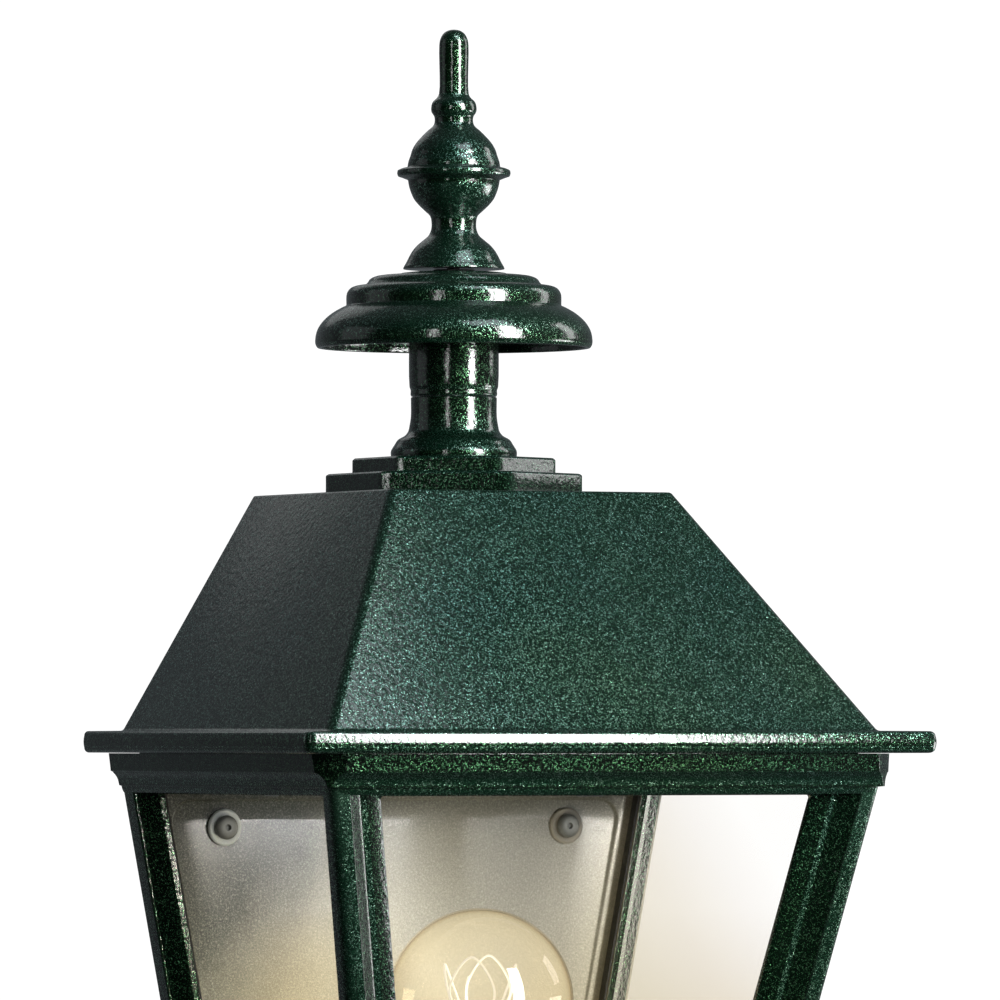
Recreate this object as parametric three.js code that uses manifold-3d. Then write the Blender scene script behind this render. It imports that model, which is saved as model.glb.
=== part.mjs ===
// Flat-backed nostalgic wall lantern in cast aluminium, with its lamp, wiring and fixings.
// Millimetres, +Z up, wall plane at y = 0, front of the lantern towards -Y, left at -X.
// Heights are counted from the middle of the eave rim; the whole lantern is then
// lifted by EAVE_Z.
import * as THREE from 'three';
import { mergeVertices } from 'three/addons/utils/BufferGeometryUtils.js';
import Module from 'manifold-3d';

const wasm = await Module();
wasm.setup();
const { Manifold, Mesh: SolidMesh } = wasm;

// ---------------------------------------------------------------- dimensions
const SIDES = [['left', -1], ['right', 1]];
const EAVE_Z = 130;            // eave height above the origin
const REAR_GAP = 0.6;          // roof and tray stand clear of the wall
const SEAT_GAP = 0.25;         // gap between parts that sit on each other

// body: tapers towards the bottom on both sides and at the front
const BODY_TOP = -24;          // underside of the cornice
const BODY_BOTTOM = -284;
const BODY_HALF_W = 129.9;     // half width at BODY_TOP
const BODY_DEPTH = 208.5;      // depth at BODY_TOP
const TAPER_W = 0.192;         // half width lost per mm of height
const TAPER_D = 0.22;          // depth lost per mm of height
const WALL_T = 13;             // thickness of rails and posts
const REAR_T = 6;              // thickness of the back wall
const PANEL_T = REAR_T - 2;    // thickness of its sunk panel
const CORNER_R = 6.4;          // outer corner of a front post
const CORNICE_TOP = -4.95;

// windows and glazing
const WINDOW_EDGE = 27.5;      // daylight edge, from the outer corner
const WINDOW_TOP = -24.8;
const WINDOW_BOTTOM = BODY_BOTTOM + WINDOW_EDGE;
const PANE_EDGE = WALL_T + 5;  // edge of a pane, from the outer corner
const GLASS_T = 3;
const GLASS_TOP = -16;
const GLASS_BOTTOM = -264;

// roof, tie rod and crossbar; the stack, rod and pendant share one upright axis
const ROOF_TOP_Z = 107.9;
const STACK_Y = -61.2;
const ROD_HOLE_R = 3.12;
const ROD_BORE_R = 4;          // wider bore through roof, stack and washer
const LUG_BOTTOM = -13.8;
const LUG_TOP = -8.8;
const BAR_SCREW_X = 108;

// bottom tray
const FOOT_HALF_W = BODY_HALF_W - TAPER_W * (BODY_TOP - BODY_BOTTOM);
const FOOT_DEPTH = BODY_DEPTH - TAPER_D * (BODY_TOP - BODY_BOTTOM);
const TRAY_FLOOR = -308;       // underside of the floor
const TRAY_T = 4;
const FLOOR_TOP = TRAY_FLOOR + TRAY_T;
const TRAY_SCREW_INSET = 5.2;
const TRAY_SCREWS = [['front', TRAY_SCREW_INSET - FOOT_DEPTH], ['rear', -7]].flatMap(
  ([end, y]) => SIDES.map(([name, side]) => (
    { name: `${end}_${name}`, x: side * (FOOT_HALF_W - TRAY_SCREW_INSET), y })),
);

// fixings in the back wall
const WALL_SCREW_X = 84;
const WALL_SCREW_Z = -37.5;
const GROMMET_Z = -236;
const EARTH_X = -38;
const EARTH_Z = -226;

const LAMP_Y = -87;            // upright axis of lampholder and bulb

// ------------------------------------------------------------------ finishes
const FINISH = {
  green: { color: 0x14322a, roughness: 0.35, metalness: 0.4 },
  steel: { color: 0x9fa3a6, roughness: 0.35, metalness: 0.9 },
  brass: { color: 0xb08d45, roughness: 0.35, metalness: 0.9 },
  rubber: { color: 0x2a2c2d, roughness: 0.85, metalness: 0 },
  glass: { color: 0xeef4f2, roughness: 0.05, metalness: 0, transparent: true, opacity: 0.3 },
  washer: { color: 0xc4cbc6, roughness: 0.5, metalness: 0.2 },
  holder: { color: 0x1c1d1e, roughness: 0.5, metalness: 0 },
  insert: { color: 0xe8e4da, roughness: 0.6, metalness: 0 },
  globe: { color: 0xf3e2b8, roughness: 0.05, metalness: 0, transparent: true, opacity: 0.45 },
  bulbCap: { color: 0xc9b27a, roughness: 0.3, metalness: 0.9 },
  bulbContact: { color: 0x9a9a98, roughness: 0.4, metalness: 0.9 },
  filament: { color: 0xfff3d6, roughness: 0.3, metalness: 0.1 },
  terminal: { color: 0xe6e4dc, roughness: 0.5, metalness: 0 },
  sheath: { color: 0x1b1b1c, roughness: 0.6, metalness: 0 },
  brownWire: { color: 0x6e3a1c, roughness: 0.5, metalness: 0 },
  blueWire: { color: 0x2b4f86, roughness: 0.5, metalness: 0 },
};

// ------------------------------------------------------- solids and geometry
// welds a closed geometry and turns its faces outwards
function toSolid(source) {
  for (const name of Object.keys(source.attributes)) {
    if (name !== 'position') source.deleteAttribute(name);
  }
  const geometry = mergeVertices(source, 1e-4);
  const { position } = geometry.attributes;
  const indices = Array.from(geometry.index.array);
  const triangles = [];
  let volume = 0;
  for (let i = 0; i < indices.length; i += 3) {
    const triangle = indices.slice(i, i + 3);
    if (new Set(triangle).size < 3) continue;
    triangles.push(triangle);
    const [first, second, third] = triangle.map(
      (vertex) => new THREE.Vector3().fromBufferAttribute(position, vertex),
    );
    volume += first.dot(second.cross(third));
  }
  if (volume < 0) triangles.forEach((triangle) => triangle.reverse());
  return new Manifold(new SolidMesh({
    numProp: 3,
    vertProperties: new Float32Array(position.array),
    triVerts: new Uint32Array(triangles.flat()),
  }));
}

function indexed(points, indices) {
  const geometry = new THREE.BufferGeometry();
  geometry.setAttribute('position', new THREE.Float32BufferAttribute(points, 3));
  geometry.setIndex(Array.from(indices));
  return geometry;
}

function toGeometry(solid) {
  const mesh = solid.getMesh();
  const geometry = indexed(mesh.vertProperties, mesh.triVerts);
  geometry.computeVertexNormals();
  return geometry;
}

const join = (...solids) => Manifold.union(solids);
const cut = (base, ...tools) => base.subtract(Manifold.union(tools));

// ------------------------------------------------------------------- helpers
// points on an arc, both ends included
function arc(centreX, centreY, radius, start, end, steps) {
  return Array.from({ length: steps + 1 }, (_, i) => {
    const angle = start + (i / steps) * (end - start);
    return [centreX + radius * Math.cos(angle), centreY + radius * Math.sin(angle)];
  });
}

// flat-backed plan at height z: rounded front corners, square rear corners
function planOutline(halfW, depth, z, radius, rear) {
  const centreX = halfW - radius;
  const centreY = radius - depth;
  return [
    [-halfW, -rear],
    ...arc(-centreX, centreY, radius, Math.PI, Math.PI * 1.5, 4),
    ...arc(centreX, centreY, radius, -Math.PI / 2, 0, 4),
    [halfW, -rear],
  ].map(([x, y]) => [x, y, z]);
}

// a solid through stacked plans; stations are [half width, depth, z, corner radius]
function planLoft(stations, rear = 0) {
  const loops = stations.map((station) => planOutline(...station, rear));
  const count = loops[0].length;
  const indices = [];
  for (let k = 0; k + 1 < loops.length; k++) {
    for (let i = 0; i < count; i++) {
      const here = k * count + i;
      const next = k * count + (i + 1) % count;
      indices.push(here, next, next + count, here, next + count, here + count);
    }
  }
  const cap = (k, flip) => {
    const outline = loops[k].map(([x, y]) => new THREE.Vector2(x, y));
    for (const face of THREE.ShapeUtils.triangulateShape(outline, [])) {
      const triangle = face.map((i) => k * count + i);
      indices.push(...(flip ? triangle.reverse() : triangle));
    }
  };
  cap(0, true);
  cap(loops.length - 1, false);
  return toSolid(indexed(loops.flat(2), indices));
}

// a six-faced solid from eight corners: a loop of four, then the loop facing it
function hexa(corners) {
  return toSolid(indexed(corners.flat(), [
    0, 2, 1, 0, 3, 2, 4, 5, 6, 4, 6, 7, 0, 1, 5, 0, 5, 4,
    1, 2, 6, 1, 6, 5, 2, 3, 7, 2, 7, 6, 3, 0, 4, 3, 4, 7,
  ]));
}

// corners of a level rectangle centred on x = 0
function rectangle(halfW, yFront, yRear, z) {
  return [[-halfW, yFront, z], [halfW, yFront, z], [halfW, yRear, z], [-halfW, yRear, z]];
}

// x0 and x1 may come in either order
function box(x0, x1, y0, y1, z0, z1) {
  const geometry = new THREE.BoxGeometry(Math.abs(x1 - x0), y1 - y0, z1 - z0);
  geometry.translate((x0 + x1) / 2, (y0 + y1) / 2, (z0 + z1) / 2);
  return toSolid(geometry);
}

function cylinderZ(radius, z0, z1, x, y, segments = 24) {
  const geometry = new THREE.CylinderGeometry(radius, radius, z1 - z0, segments);
  geometry.rotateX(Math.PI / 2);
  geometry.translate(x, y, (z0 + z1) / 2);
  return toSolid(geometry);
}

function cylinderY(radius, y0, y1, x, z, segments) {
  const geometry = new THREE.CylinderGeometry(radius, radius, y1 - y0, segments);
  geometry.translate(x, (y0 + y1) / 2, z);
  return toSolid(geometry);
}

// x0 and x1 may come in either order
function cylinderX(radius, x0, x1, y, z, segments) {
  const geometry = new THREE.CylinderGeometry(radius, radius, Math.abs(x1 - x0), segments);
  geometry.rotateZ(Math.PI / 2);
  geometry.translate((x0 + x1) / 2, y, z);
  return toSolid(geometry);
}

// profile [[radius, z], ...] turned about the upright line at x = 0 and this y
function turned(profile, y, segments) {
  const points = profile.map(([radius, z]) => new THREE.Vector2(radius, z));
  const geometry = new THREE.LatheGeometry(points, segments);
  geometry.rotateX(Math.PI / 2);
  geometry.translate(0, y, 0);
  return toSolid(geometry);
}

// profile [[radius, distance from the wall], ...] turned about a line square to the wall
function turnedOffWall(profile, x, z, segments) {
  const place = new THREE.Matrix4().makeTranslation(x, 0, z)
    .multiply(new THREE.Matrix4().makeRotationX(Math.PI / 2));
  return turned(profile, 0, segments).transform(place.elements);
}

function bush(innerR, outerR, z0, z1, y, segments) {
  return turned(
    [[innerR, z0], [outerR, z0], [outerR, z1], [innerR, z1], [innerR, z0]], y, segments,
  );
}

function polygon(radius, sides, start = 0) {
  return new THREE.Shape(Array.from({ length: sides }, (_, i) => {
    const angle = start + (i * 2 * Math.PI) / sides;
    return new THREE.Vector2(radius * Math.cos(angle), radius * Math.sin(angle));
  }));
}

function hexPrism(radius, z0, z1, y) {
  const geometry = new THREE.ExtrudeGeometry(
    polygon(radius, 6, Math.PI / 2), { depth: z1 - z0, bevelEnabled: false },
  );
  geometry.translate(0, y, z0);
  return toSolid(geometry);
}

// section [[y, z], ...] drawn across the width, centred on x = 0
function acrossWidth(section, width) {
  const shape = new THREE.Shape(section.map(([y, z]) => new THREE.Vector2(y, z)));
  const geometry = new THREE.ExtrudeGeometry(shape, { depth: width, bevelEnabled: false });
  return geometry.applyMatrix4(new THREE.Matrix4().set(
    0, 0, 1, -width / 2,
    1, 0, 0, 0,
    0, 1, 0, 0,
    0, 0, 0, 1,
  ));
}

function wire(points, radius, steps, sides) {
  const extrudePath = new THREE.CatmullRomCurve3(points.map((p) => new THREE.Vector3(...p)));
  return toSolid(new THREE.ExtrudeGeometry(
    polygon(radius, sides), { steps, extrudePath, bevelEnabled: false },
  ));
}

// --------------------------------------------------------------------- group
const lantern = new THREE.Group();
const raised = new THREE.Group();
raised.position.set(0, 0, EAVE_Z);
lantern.add(raised);

function addPiece(name, solid, finish) {
  const mesh = new THREE.Mesh(toGeometry(solid), new THREE.MeshStandardMaterial(finish));
  mesh.name = name;
  raised.add(mesh);
}

// ------------------------------------------------------------- tapered faces
// "inset" is a distance inwards from the outer face, which follows the taper
const sideX = (z, inset = 0) => BODY_HALF_W - TAPER_W * (BODY_TOP - z) - inset;
const frontY = (z, inset = 0) => inset - (BODY_DEPTH - TAPER_D * (BODY_TOP - z));

// slab parallel to the front face; edge = distance kept from both outer corners
function frontSlab(edge, [outer, inner], heights) {
  return hexa(heights.flatMap(
    (z) => rectangle(sideX(z, edge), frontY(z, outer), frontY(z, inner), z),
  ));
}

// slab parallel to a side face, kept clear of the front corner and of the wall
function sideSlab(side, edge, rear, [outer, inner], heights) {
  return hexa(heights.flatMap((z) => {
    const xOuter = side * sideX(z, outer);
    const xInner = side * sideX(z, inner);
    const y = frontY(z, edge);
    return [[xInner, y, z], [xOuter, y, z], [xOuter, -rear, z], [xInner, -rear, z]];
  }));
}

// ------------------------------------------------------- clips for the panes
const CLIP_W = 12;
// section of a clip, (inset, distance beyond the pane's edge): foot on the rail,
// step, leg behind the pane
const CLIP_SECTION = [
  [WALL_T + 0.25, 9.2], [WALL_T + 1.15, 9.2], [WALL_T + 1.15, 1.4], [WALL_T + 5.6, 1.4],
  [WALL_T + 5.6, -7.0], [WALL_T + 4.7, -7.0], [WALL_T + 4.7, 0.5], [WALL_T + 0.25, 0.5],
];
const CLIP_SCREW_BEYOND = 5.2;  // screw axis, beyond the pane's edge
// outward = direction in z away from the pane; sideY = place of the side clips
const CLIP_ENDS = [
  { end: 'top', edge: GLASS_TOP, outward: 1, sideY: -112 },
  { end: 'bottom', edge: GLASS_BOTTOM, outward: -1, sideY: -76 },
];

// place(along, inset, z) gives a point of the clip; rod(radius, [insets], segments)
// gives a cylinder on the axis of its screw
function makeClip(face, { end, edge, outward }, place, rod) {
  const section = CLIP_SECTION.map(([inset, beyond]) => [inset, edge + outward * beyond]);
  const geometry = acrossWidth(section, CLIP_W);
  const { position } = geometry.attributes;
  for (let i = 0; i < position.count; i++) {
    const placed = place(position.getX(i), position.getY(i), position.getZ(i));
    position.setXYZ(i, ...placed);
  }
  const hole = rod(1.6, [8.6, WALL_T + 7], 12);
  const shank = rod(1.45, [9, WALL_T + 2.6], 12);
  const head = rod(2.7, [WALL_T + 2.3, WALL_T + 4.2], 16);
  return {
    clipName: `${face}_clip_${end}`,
    clip: cut(toSolid(geometry), hole),
    screwName: `${face}_clip_screw_${end}`,
    screw: join(shank, head),
    hole,
  };
}

function clipsAt(clipEnd) {
  const screwZ = clipEnd.edge + clipEnd.outward * CLIP_SCREW_BEYOND;
  const front = makeClip(
    'front',
    clipEnd,
    (along, inset, z) => [along, frontY(z, inset), z],
    (radius, [outer, inner], segments) => cylinderY(
      radius, frontY(screwZ, outer), frontY(screwZ, inner), 0, screwZ, segments,
    ),
  );
  const sides = SIDES.map(([name, side]) => makeClip(
    name,
    clipEnd,
    (along, inset, z) => [side * sideX(z, inset), clipEnd.sideY + along, z],
    (radius, [outer, inner], segments) => cylinderX(
      radius, side * sideX(screwZ, outer), side * sideX(screwZ, inner),
      clipEnd.sideY, screwZ, segments,
    ),
  ));
  return [front, ...sides];
}

const clips = CLIP_ENDS.flatMap(clipsAt);

// ---------------------------------------------------------------- body frame
// cornice, (outset from the body, z) from the bottom up
const CORNICE_PROFILE = [
  [0.3, BODY_TOP - 0.2], [0.9, -22.8], [1.3, -21.4], [1.4, -20.6], [2.6, -20.3],
  [2.8, -19.0], [3.4, -16.6], [4.4, -14.7], [5.4, -13.5], [5.6, -13.0], [6.6, -12.7],
  [7.0, -9.5], [7.6, CORNICE_TOP],
];
const CORNICE_OUT = 7.6;
const CORNICE_CHAMFER = 11.6;   // length cut from each edge at a front corner

// band round the foot of the body, (height above the bottom, outset)
const BAND_PROFILE = [[0, 3.0], [5, 3.0], [7.1, 1.6], [8.5, 0.3]];

// cuts round a window: slope behind the corner bar, bevel, then the opening;
// outer and inner are (distance from the edge, inset), rear the same two edges'
// distances from the wall on the narrower rear posts
const WINDOW_CUTS = [
  { outer: [7.75, -1.0], inner: [16.3, 7.1], rear: [9.58, 13.0] },
  { outer: [16.74, 6.1], inner: [WINDOW_EDGE, 10.0], rear: [12.5, 14.5] },
  { outer: [WINDOW_EDGE, -6], inner: [WINDOW_EDGE, WALL_T + 4], rear: [14.5, 14.5] },
];

// upstand on the cornice, inside the roof
const UPSTAND_HALF_W = 125.2;
const UPSTAND_DEPTH = 202.1;
const UPSTAND_T = 3.3;
const UPSTAND_BOTTOM = CORNICE_TOP - 0.6;
const UPSTAND_TOP = -0.8;

// sunk panel of the back wall
const PANEL_INSET = 23;
const PANEL_TOP = -25.5;
const PANEL_BOTTOM = -268;
const PANEL_R = 9;

// cornice with its front corners cut by an upright 45 degree plane
function cornice() {
  const moulding = planLoft(CORNICE_PROFILE.map(
    ([outset, z]) => [BODY_HALF_W + outset, BODY_DEPTH + outset, z, 1.2],
  ));
  const thickness = 30;
  // distance of the block's centre from the axis, and its shift along the cut
  const chamferSum = BODY_HALF_W + BODY_DEPTH + 2 * CORNICE_OUT - CORNICE_CHAMFER;
  const distance = chamferSum * Math.SQRT1_2 + thickness / 2;
  const along = (BODY_HALF_W - BODY_DEPTH) * Math.SQRT1_2;
  const blocks = SIDES.map(([, side]) => {
    const geometry = new THREE.BoxGeometry(80, thickness, 80);
    geometry.rotateZ((side * Math.PI) / 4);
    geometry.translate(
      side * (distance + along) * Math.SQRT1_2, (along - distance) * Math.SQRT1_2, -15,
    );
    return toSolid(geometry);
  });
  return cut(moulding, ...blocks);
}

// inside of the body, open at the top and the bottom
function bodyCavity() {
  return hexa([BODY_BOTTOM - 1, CORNICE_TOP + 1].flatMap(
    (z) => rectangle(sideX(z, WALL_T), frontY(z, WALL_T), -REAR_T, z),
  ));
}

// corners of a window outline: two at the bottom, then the same two at the top
function frontCorners([edge, inset]) {
  const bottom = BODY_BOTTOM + edge;
  return [[bottom, -1], [bottom, 1], [WINDOW_TOP, 1], [WINDOW_TOP, -1]].map(
    ([z, side]) => [side * sideX(z, edge), frontY(z, inset), z],
  );
}
function sideCorners(side, [edge, inset], rear) {
  const bottom = BODY_BOTTOM + edge;
  const corner = (z, y) => [side * sideX(z, inset), y, z];
  return [
    corner(bottom, frontY(bottom, edge)), corner(bottom, -rear),
    corner(WINDOW_TOP, -rear), corner(WINDOW_TOP, frontY(WINDOW_TOP, edge)),
  ];
}

function windowCutter(outer, inner) {
  return hexa([
    outer[0], outer[1], inner[1], inner[0],
    outer[3], outer[2], inner[2], inner[3],
  ]);
}

function windowCutters() {
  const front = WINDOW_CUTS.map(
    ({ outer, inner }) => windowCutter(frontCorners(outer), frontCorners(inner)),
  );
  const sides = SIDES.flatMap(([, side]) => WINDOW_CUTS.map(
    ({ outer, inner, rear }) => windowCutter(
      sideCorners(side, outer, rear[0]), sideCorners(side, inner, rear[1]),
    ),
  ));
  return [...front, ...sides];
}

// low three-sided upstand that centres the roof, open at the rear
function upstand() {
  const outer = hexa([UPSTAND_BOTTOM, UPSTAND_TOP].flatMap(
    (z) => rectangle(UPSTAND_HALF_W, -UPSTAND_DEPTH, -5, z),
  ));
  const innerHalfW = UPSTAND_HALF_W - UPSTAND_T;
  const core = box(
    -innerHalfW, innerHalfW, UPSTAND_T - UPSTAND_DEPTH, 2, UPSTAND_BOTTOM - 1, UPSTAND_TOP + 1,
  );
  return cut(outer, core);
}

// rounded recess in the inner face of the back wall
function panelCutter() {
  const half = (z) => sideX(z, PANEL_INSET);
  const low = PANEL_BOTTOM + PANEL_R;
  const high = PANEL_TOP - PANEL_R;
  const bottomHalf = half(PANEL_BOTTOM);
  const topHalf = half(PANEL_TOP);
  const shape = new THREE.Shape();
  shape.moveTo(-bottomHalf + PANEL_R, PANEL_BOTTOM);
  shape.lineTo(bottomHalf - PANEL_R, PANEL_BOTTOM);
  shape.quadraticCurveTo(bottomHalf, PANEL_BOTTOM, half(low), low);
  shape.lineTo(half(high), high);
  shape.quadraticCurveTo(topHalf, PANEL_TOP, topHalf - PANEL_R, PANEL_TOP);
  shape.lineTo(-topHalf + PANEL_R, PANEL_TOP);
  shape.quadraticCurveTo(-topHalf, PANEL_TOP, -half(high), high);
  shape.lineTo(-half(low), low);
  shape.quadraticCurveTo(-bottomHalf, PANEL_BOTTOM, -bottomHalf + PANEL_R, PANEL_BOTTOM);
  const geometry = new THREE.ExtrudeGeometry(
    shape, { depth: 20, bevelEnabled: false, curveSegments: 5 },
  );
  geometry.rotateX(Math.PI / 2);        // shape's y -> z, depth -> -y
  geometry.translate(0, -PANEL_T, 0);
  return toSolid(geometry);
}

// lugs inside the cornice that carry the crossbar
function crossbarLugs() {
  return SIDES.map(([, side]) => box(
    side * 101, side * 124, STACK_Y - 10, STACK_Y + 10, LUG_BOTTOM, LUG_TOP,
  ));
}

function bodyHoles() {
  return [
    ...SIDES.flatMap(([, side]) => [
      cylinderZ(2.15, LUG_BOTTOM - 1, LUG_TOP + 1, side * BAR_SCREW_X, STACK_Y, 16),
      cylinderY(3.2, -20, 2, side * WALL_SCREW_X, WALL_SCREW_Z, 20),
    ]),
    cylinderY(6.0, -20, 2, 0, GROMMET_Z, 24),
    cylinderY(2.15, -20, -1.2, EARTH_X, EARTH_Z, 16),
    ...clips.map(({ hole }) => hole),
    ...TRAY_SCREWS.map(({ x, y }) => cylinderZ(1.9, BODY_BOTTOM - 1, BODY_BOTTOM + 9.5, x, y, 12)),
  ];
}

function addBodyFrame() {
  const block = planLoft([BODY_BOTTOM, BODY_TOP + 4].map(
    (z) => [sideX(z), -frontY(z), z, CORNER_R],
  ));
  const band = planLoft(BAND_PROFILE.map(([height, outset]) => {
    const z = BODY_BOTTOM + height;
    return [sideX(z) + outset, outset - frontY(z), z, CORNER_R];
  }));
  let shell = join(block, cornice(), band);
  shell = cut(shell, bodyCavity());
  shell = cut(shell, ...windowCutters());
  shell = join(shell, upstand());
  shell = cut(shell, panelCutter());
  shell = join(shell, ...crossbarLugs());
  shell = cut(shell, ...bodyHoles());
  addPiece('body_frame', shell, FINISH.green);
}

// ------------------------------------------------------------------- glazing
// insets of the faces of a sealing strip and of the pane behind it
const SEAL_INSETS = [WALL_T + 0.2, WALL_T + 1.1];
const PANE_INSETS = [WALL_T + 1.35, WALL_T + 1.35 + GLASS_T];
const PANE_REAR = 8.5;          // rear edge of a side pane, from the wall
const SEAL_OPENING_REAR = 13.6;
const SEAL_OVERLAP = 1;         // seal shows outside the daylight edge by this

function addPanes() {
  const heights = [GLASS_BOTTOM, GLASS_TOP];
  addPiece('glass_front', frontSlab(PANE_EDGE, PANE_INSETS, heights), FINISH.glass);
  for (const [name, side] of SIDES) {
    const pane = sideSlab(side, PANE_EDGE, PANE_REAR, PANE_INSETS, heights);
    addPiece(`glass_${name}`, pane, FINISH.glass);
  }
}

function addSeals() {
  const edge = PANE_EDGE + 0.2;
  const heights = [GLASS_BOTTOM + 0.6, GLASS_TOP - 0.6];
  const openEdge = WINDOW_EDGE - SEAL_OVERLAP;
  const openInsets = [SEAL_INSETS[0] - 1, SEAL_INSETS[1] + 1];
  const openHeights = [WINDOW_BOTTOM - SEAL_OVERLAP, WINDOW_TOP + SEAL_OVERLAP];
  const front = cut(
    frontSlab(edge, SEAL_INSETS, heights), frontSlab(openEdge, openInsets, openHeights),
  );
  addPiece('seal_front', front, FINISH.rubber);
  for (const [name, side] of SIDES) {
    const seal = cut(
      sideSlab(side, edge, PANE_REAR + 0.2, SEAL_INSETS, heights),
      sideSlab(side, openEdge, SEAL_OPENING_REAR, openInsets, openHeights),
    );
    addPiece(`seal_${name}`, seal, FINISH.rubber);
  }
}

function addClips() {
  for (const { clipName, clip, screwName, screw } of clips) {
    addPiece(clipName, clip, FINISH.steel);
    addPiece(screwName, screw, FINISH.steel);
  }
}

// --------------------------------------------------------------------- roof
const RIM_HALF_W = 150;
const RIM_DEPTH = 226.5;
const RIM_HALF_T = 4.7;
const ROOF_BASE_Z = 5.5;
const ROOF_BASE_HALF_W = 131;
const ROOF_BASE_DEPTH = 207.9;
const ROOF_TOP_HALF_W = 68.1;
const ROOF_TOP_DEPTH = 137.9;
const ROOF_CORNER_R = 4;
const ROOF_T = 3.5;
const ROOF_CEILING_Z = ROOF_TOP_Z - 4;

// half width and depth of the roof slope at a height
function roofAt(z) {
  const rise = (z - ROOF_BASE_Z) / (ROOF_TOP_Z - ROOF_BASE_Z);
  return [
    THREE.MathUtils.lerp(ROOF_BASE_HALF_W, ROOF_TOP_HALF_W, rise),
    THREE.MathUtils.lerp(ROOF_BASE_DEPTH, ROOF_TOP_DEPTH, rise),
  ];
}

function roofOutside() {
  // upright rim face, slightly bulged, with small radii below and above
  const nose = [
    ...arc(-2.55, -RIM_HALF_T + 2.2, 2.2, -Math.PI / 2, 0, 3),
    [0, 0.1],
    ...arc(-2.35, RIM_HALF_T - 2, 2, 0, Math.PI / 2, 3),
  ];
  const shoulderZ = THREE.MathUtils.lerp(ROOF_BASE_Z, ROOF_TOP_Z, 0.975);
  const stations = [
    ...nose.map(([outset, z]) => [RIM_HALF_W + outset, RIM_DEPTH + outset, z]),
    [ROOF_BASE_HALF_W + 2.4, ROOF_BASE_DEPTH + 2.4, ROOF_BASE_Z - 0.3],
    [ROOF_BASE_HALF_W, ROOF_BASE_DEPTH, ROOF_BASE_Z + 1.2],
    [...roofAt(shoulderZ), shoulderZ],
    [ROOF_TOP_HALF_W - 1.2, ROOF_TOP_DEPTH - 1.2, ROOF_TOP_Z - 0.8],
    [ROOF_TOP_HALF_W - 3.2, ROOF_TOP_DEPTH - 3.2, ROOF_TOP_Z],
  ];
  return planLoft(stations.map((station) => [...station, ROOF_CORNER_R]), REAR_GAP);
}

// hollow: upright up to the base of the slope, then parallel to it
function roofCavity() {
  const slopeT = ROOF_T * 1.25;
  const outline = (slopeZ, z) => {
    const [halfW, depth] = roofAt(slopeZ);
    return rectangle(halfW - slopeT, slopeT - depth, -REAR_GAP - ROOF_T, z);
  };
  const base = outline(ROOF_BASE_Z, ROOF_BASE_Z);
  const lower = hexa([...outline(ROOF_BASE_Z, -8), ...base]);
  const upper = hexa([...base, ...outline(ROOF_CEILING_Z, ROOF_CEILING_Z)]);
  return join(lower, upper);
}

function addRoof() {
  const bore = cylinderZ(ROD_BORE_R, ROOF_TOP_Z - 8, ROOF_TOP_Z + 2, 0, STACK_Y);
  addPiece('roof', cut(roofOutside(), roofCavity(), bore), FINISH.green);
}

// ------------------------------------------------------------ chimney stack
const PLINTH_BOTTOM = ROOF_TOP_Z + SEAT_GAP;
const HEX_LOWER_R = 56.4;
const HEX_UPPER_R = 44.7;
// hexagonal steps, (corner radius, bottom, top)
const PLINTH_STEPS = [
  [HEX_LOWER_R, PLINTH_BOTTOM, 116.0], [HEX_LOWER_R - 1.1, 115.9, 116.9],
  [HEX_UPPER_R, 116.8, 122.9], [HEX_UPPER_R - 1.0, 122.8, 123.8],
];
// turned profiles, (radius, z)
const PLINTH_NECK = [
  [0, 120], [26.6, 120], [27.1, 124.6], [27.1, 126.8], [25.8, 129.6], [24.4, 131.8],
  [21.4, 133.6], [20.0, 135.4], [19.3, 138.4], [18.8, 142], [18.8, 150.4], [0, 150.4],
];
const PLINTH_HOLLOW = [
  [0, PLINTH_BOTTOM - 2], [38, PLINTH_BOTTOM - 2], [34, 112.5], [14.5, 118],
  [14.5, 145.5], [0, 145.5],
];
const CAP_PROFILE = [
  [15, 150.7], [18.5, 150.7], [18.9, 151.3], [18.9, 153.6], [19.4, 155.6], [19.4, 193.0],
  [22.0, 195.4], [39.5, 195.0], [42.6, 192.6], [43.2, 187.6], [50, 184.4], [54.6, 180.4],
  [57.0, 176.0], [57.6, 171.9], [59.6, 171.9], [60.5, 173.6], [60.5, 176.4], [59.8, 179.4],
  [58.4, 182.0], [56.2, 184.6], [53.0, 187.2], [49.0, 189.5], [47.0, 190.4], [46.8, 195.6],
  [45.4, 197.8], [43.4, 198.8], [38.6, 199.4], [37.6, 200.6], [36.6, 202.0], [33.6, 203.3],
  [24.0, 203.9], [22.9, 204.6], [ROD_BORE_R, 204.6], [ROD_BORE_R, 198.6], [15, 196.0],
  [15, 150.7],
];
const FINIAL_PROFILE = [
  [0, 206.4], [22.2, 206.4], [21.9, 207.4], [21.2, 208.6], [20.3, 210.3], [19.3, 212.3],
  [17.9, 214.6], [16.0, 216.8], [13.4, 219.0], [11.0, 221.2], [9.9, 224.0], [9.8, 227.0],
  [10.4, 229.6], [12.6, 231.8], [15.3, 234.4], [17.4, 237.0], [18.7, 239.8], [19.6, 242.6],
  [20.1, 245.4], [22.6, 246.4], [24.4, 247.0], [24.8, 248.2], [24.6, 249.6], [22.8, 250.4],
  [20.3, 251.0], [19.9, 253.4], [19.0, 256.0], [18.2, 258.6], [16.6, 261.4], [14.2, 264.2],
  [11.6, 266.8], [9.0, 269.2], [8.4, 271.0], [8.6, 273.2], [9.8, 275.2], [9.9, 277.4],
  [9.2, 279.6], [7.4, 281.4], [6.5, 283.2], [6.4, 304.4], [5.9, 307.2], [4.5, 309.6],
  [2.4, 310.9], [0, 311.3],
];

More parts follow.
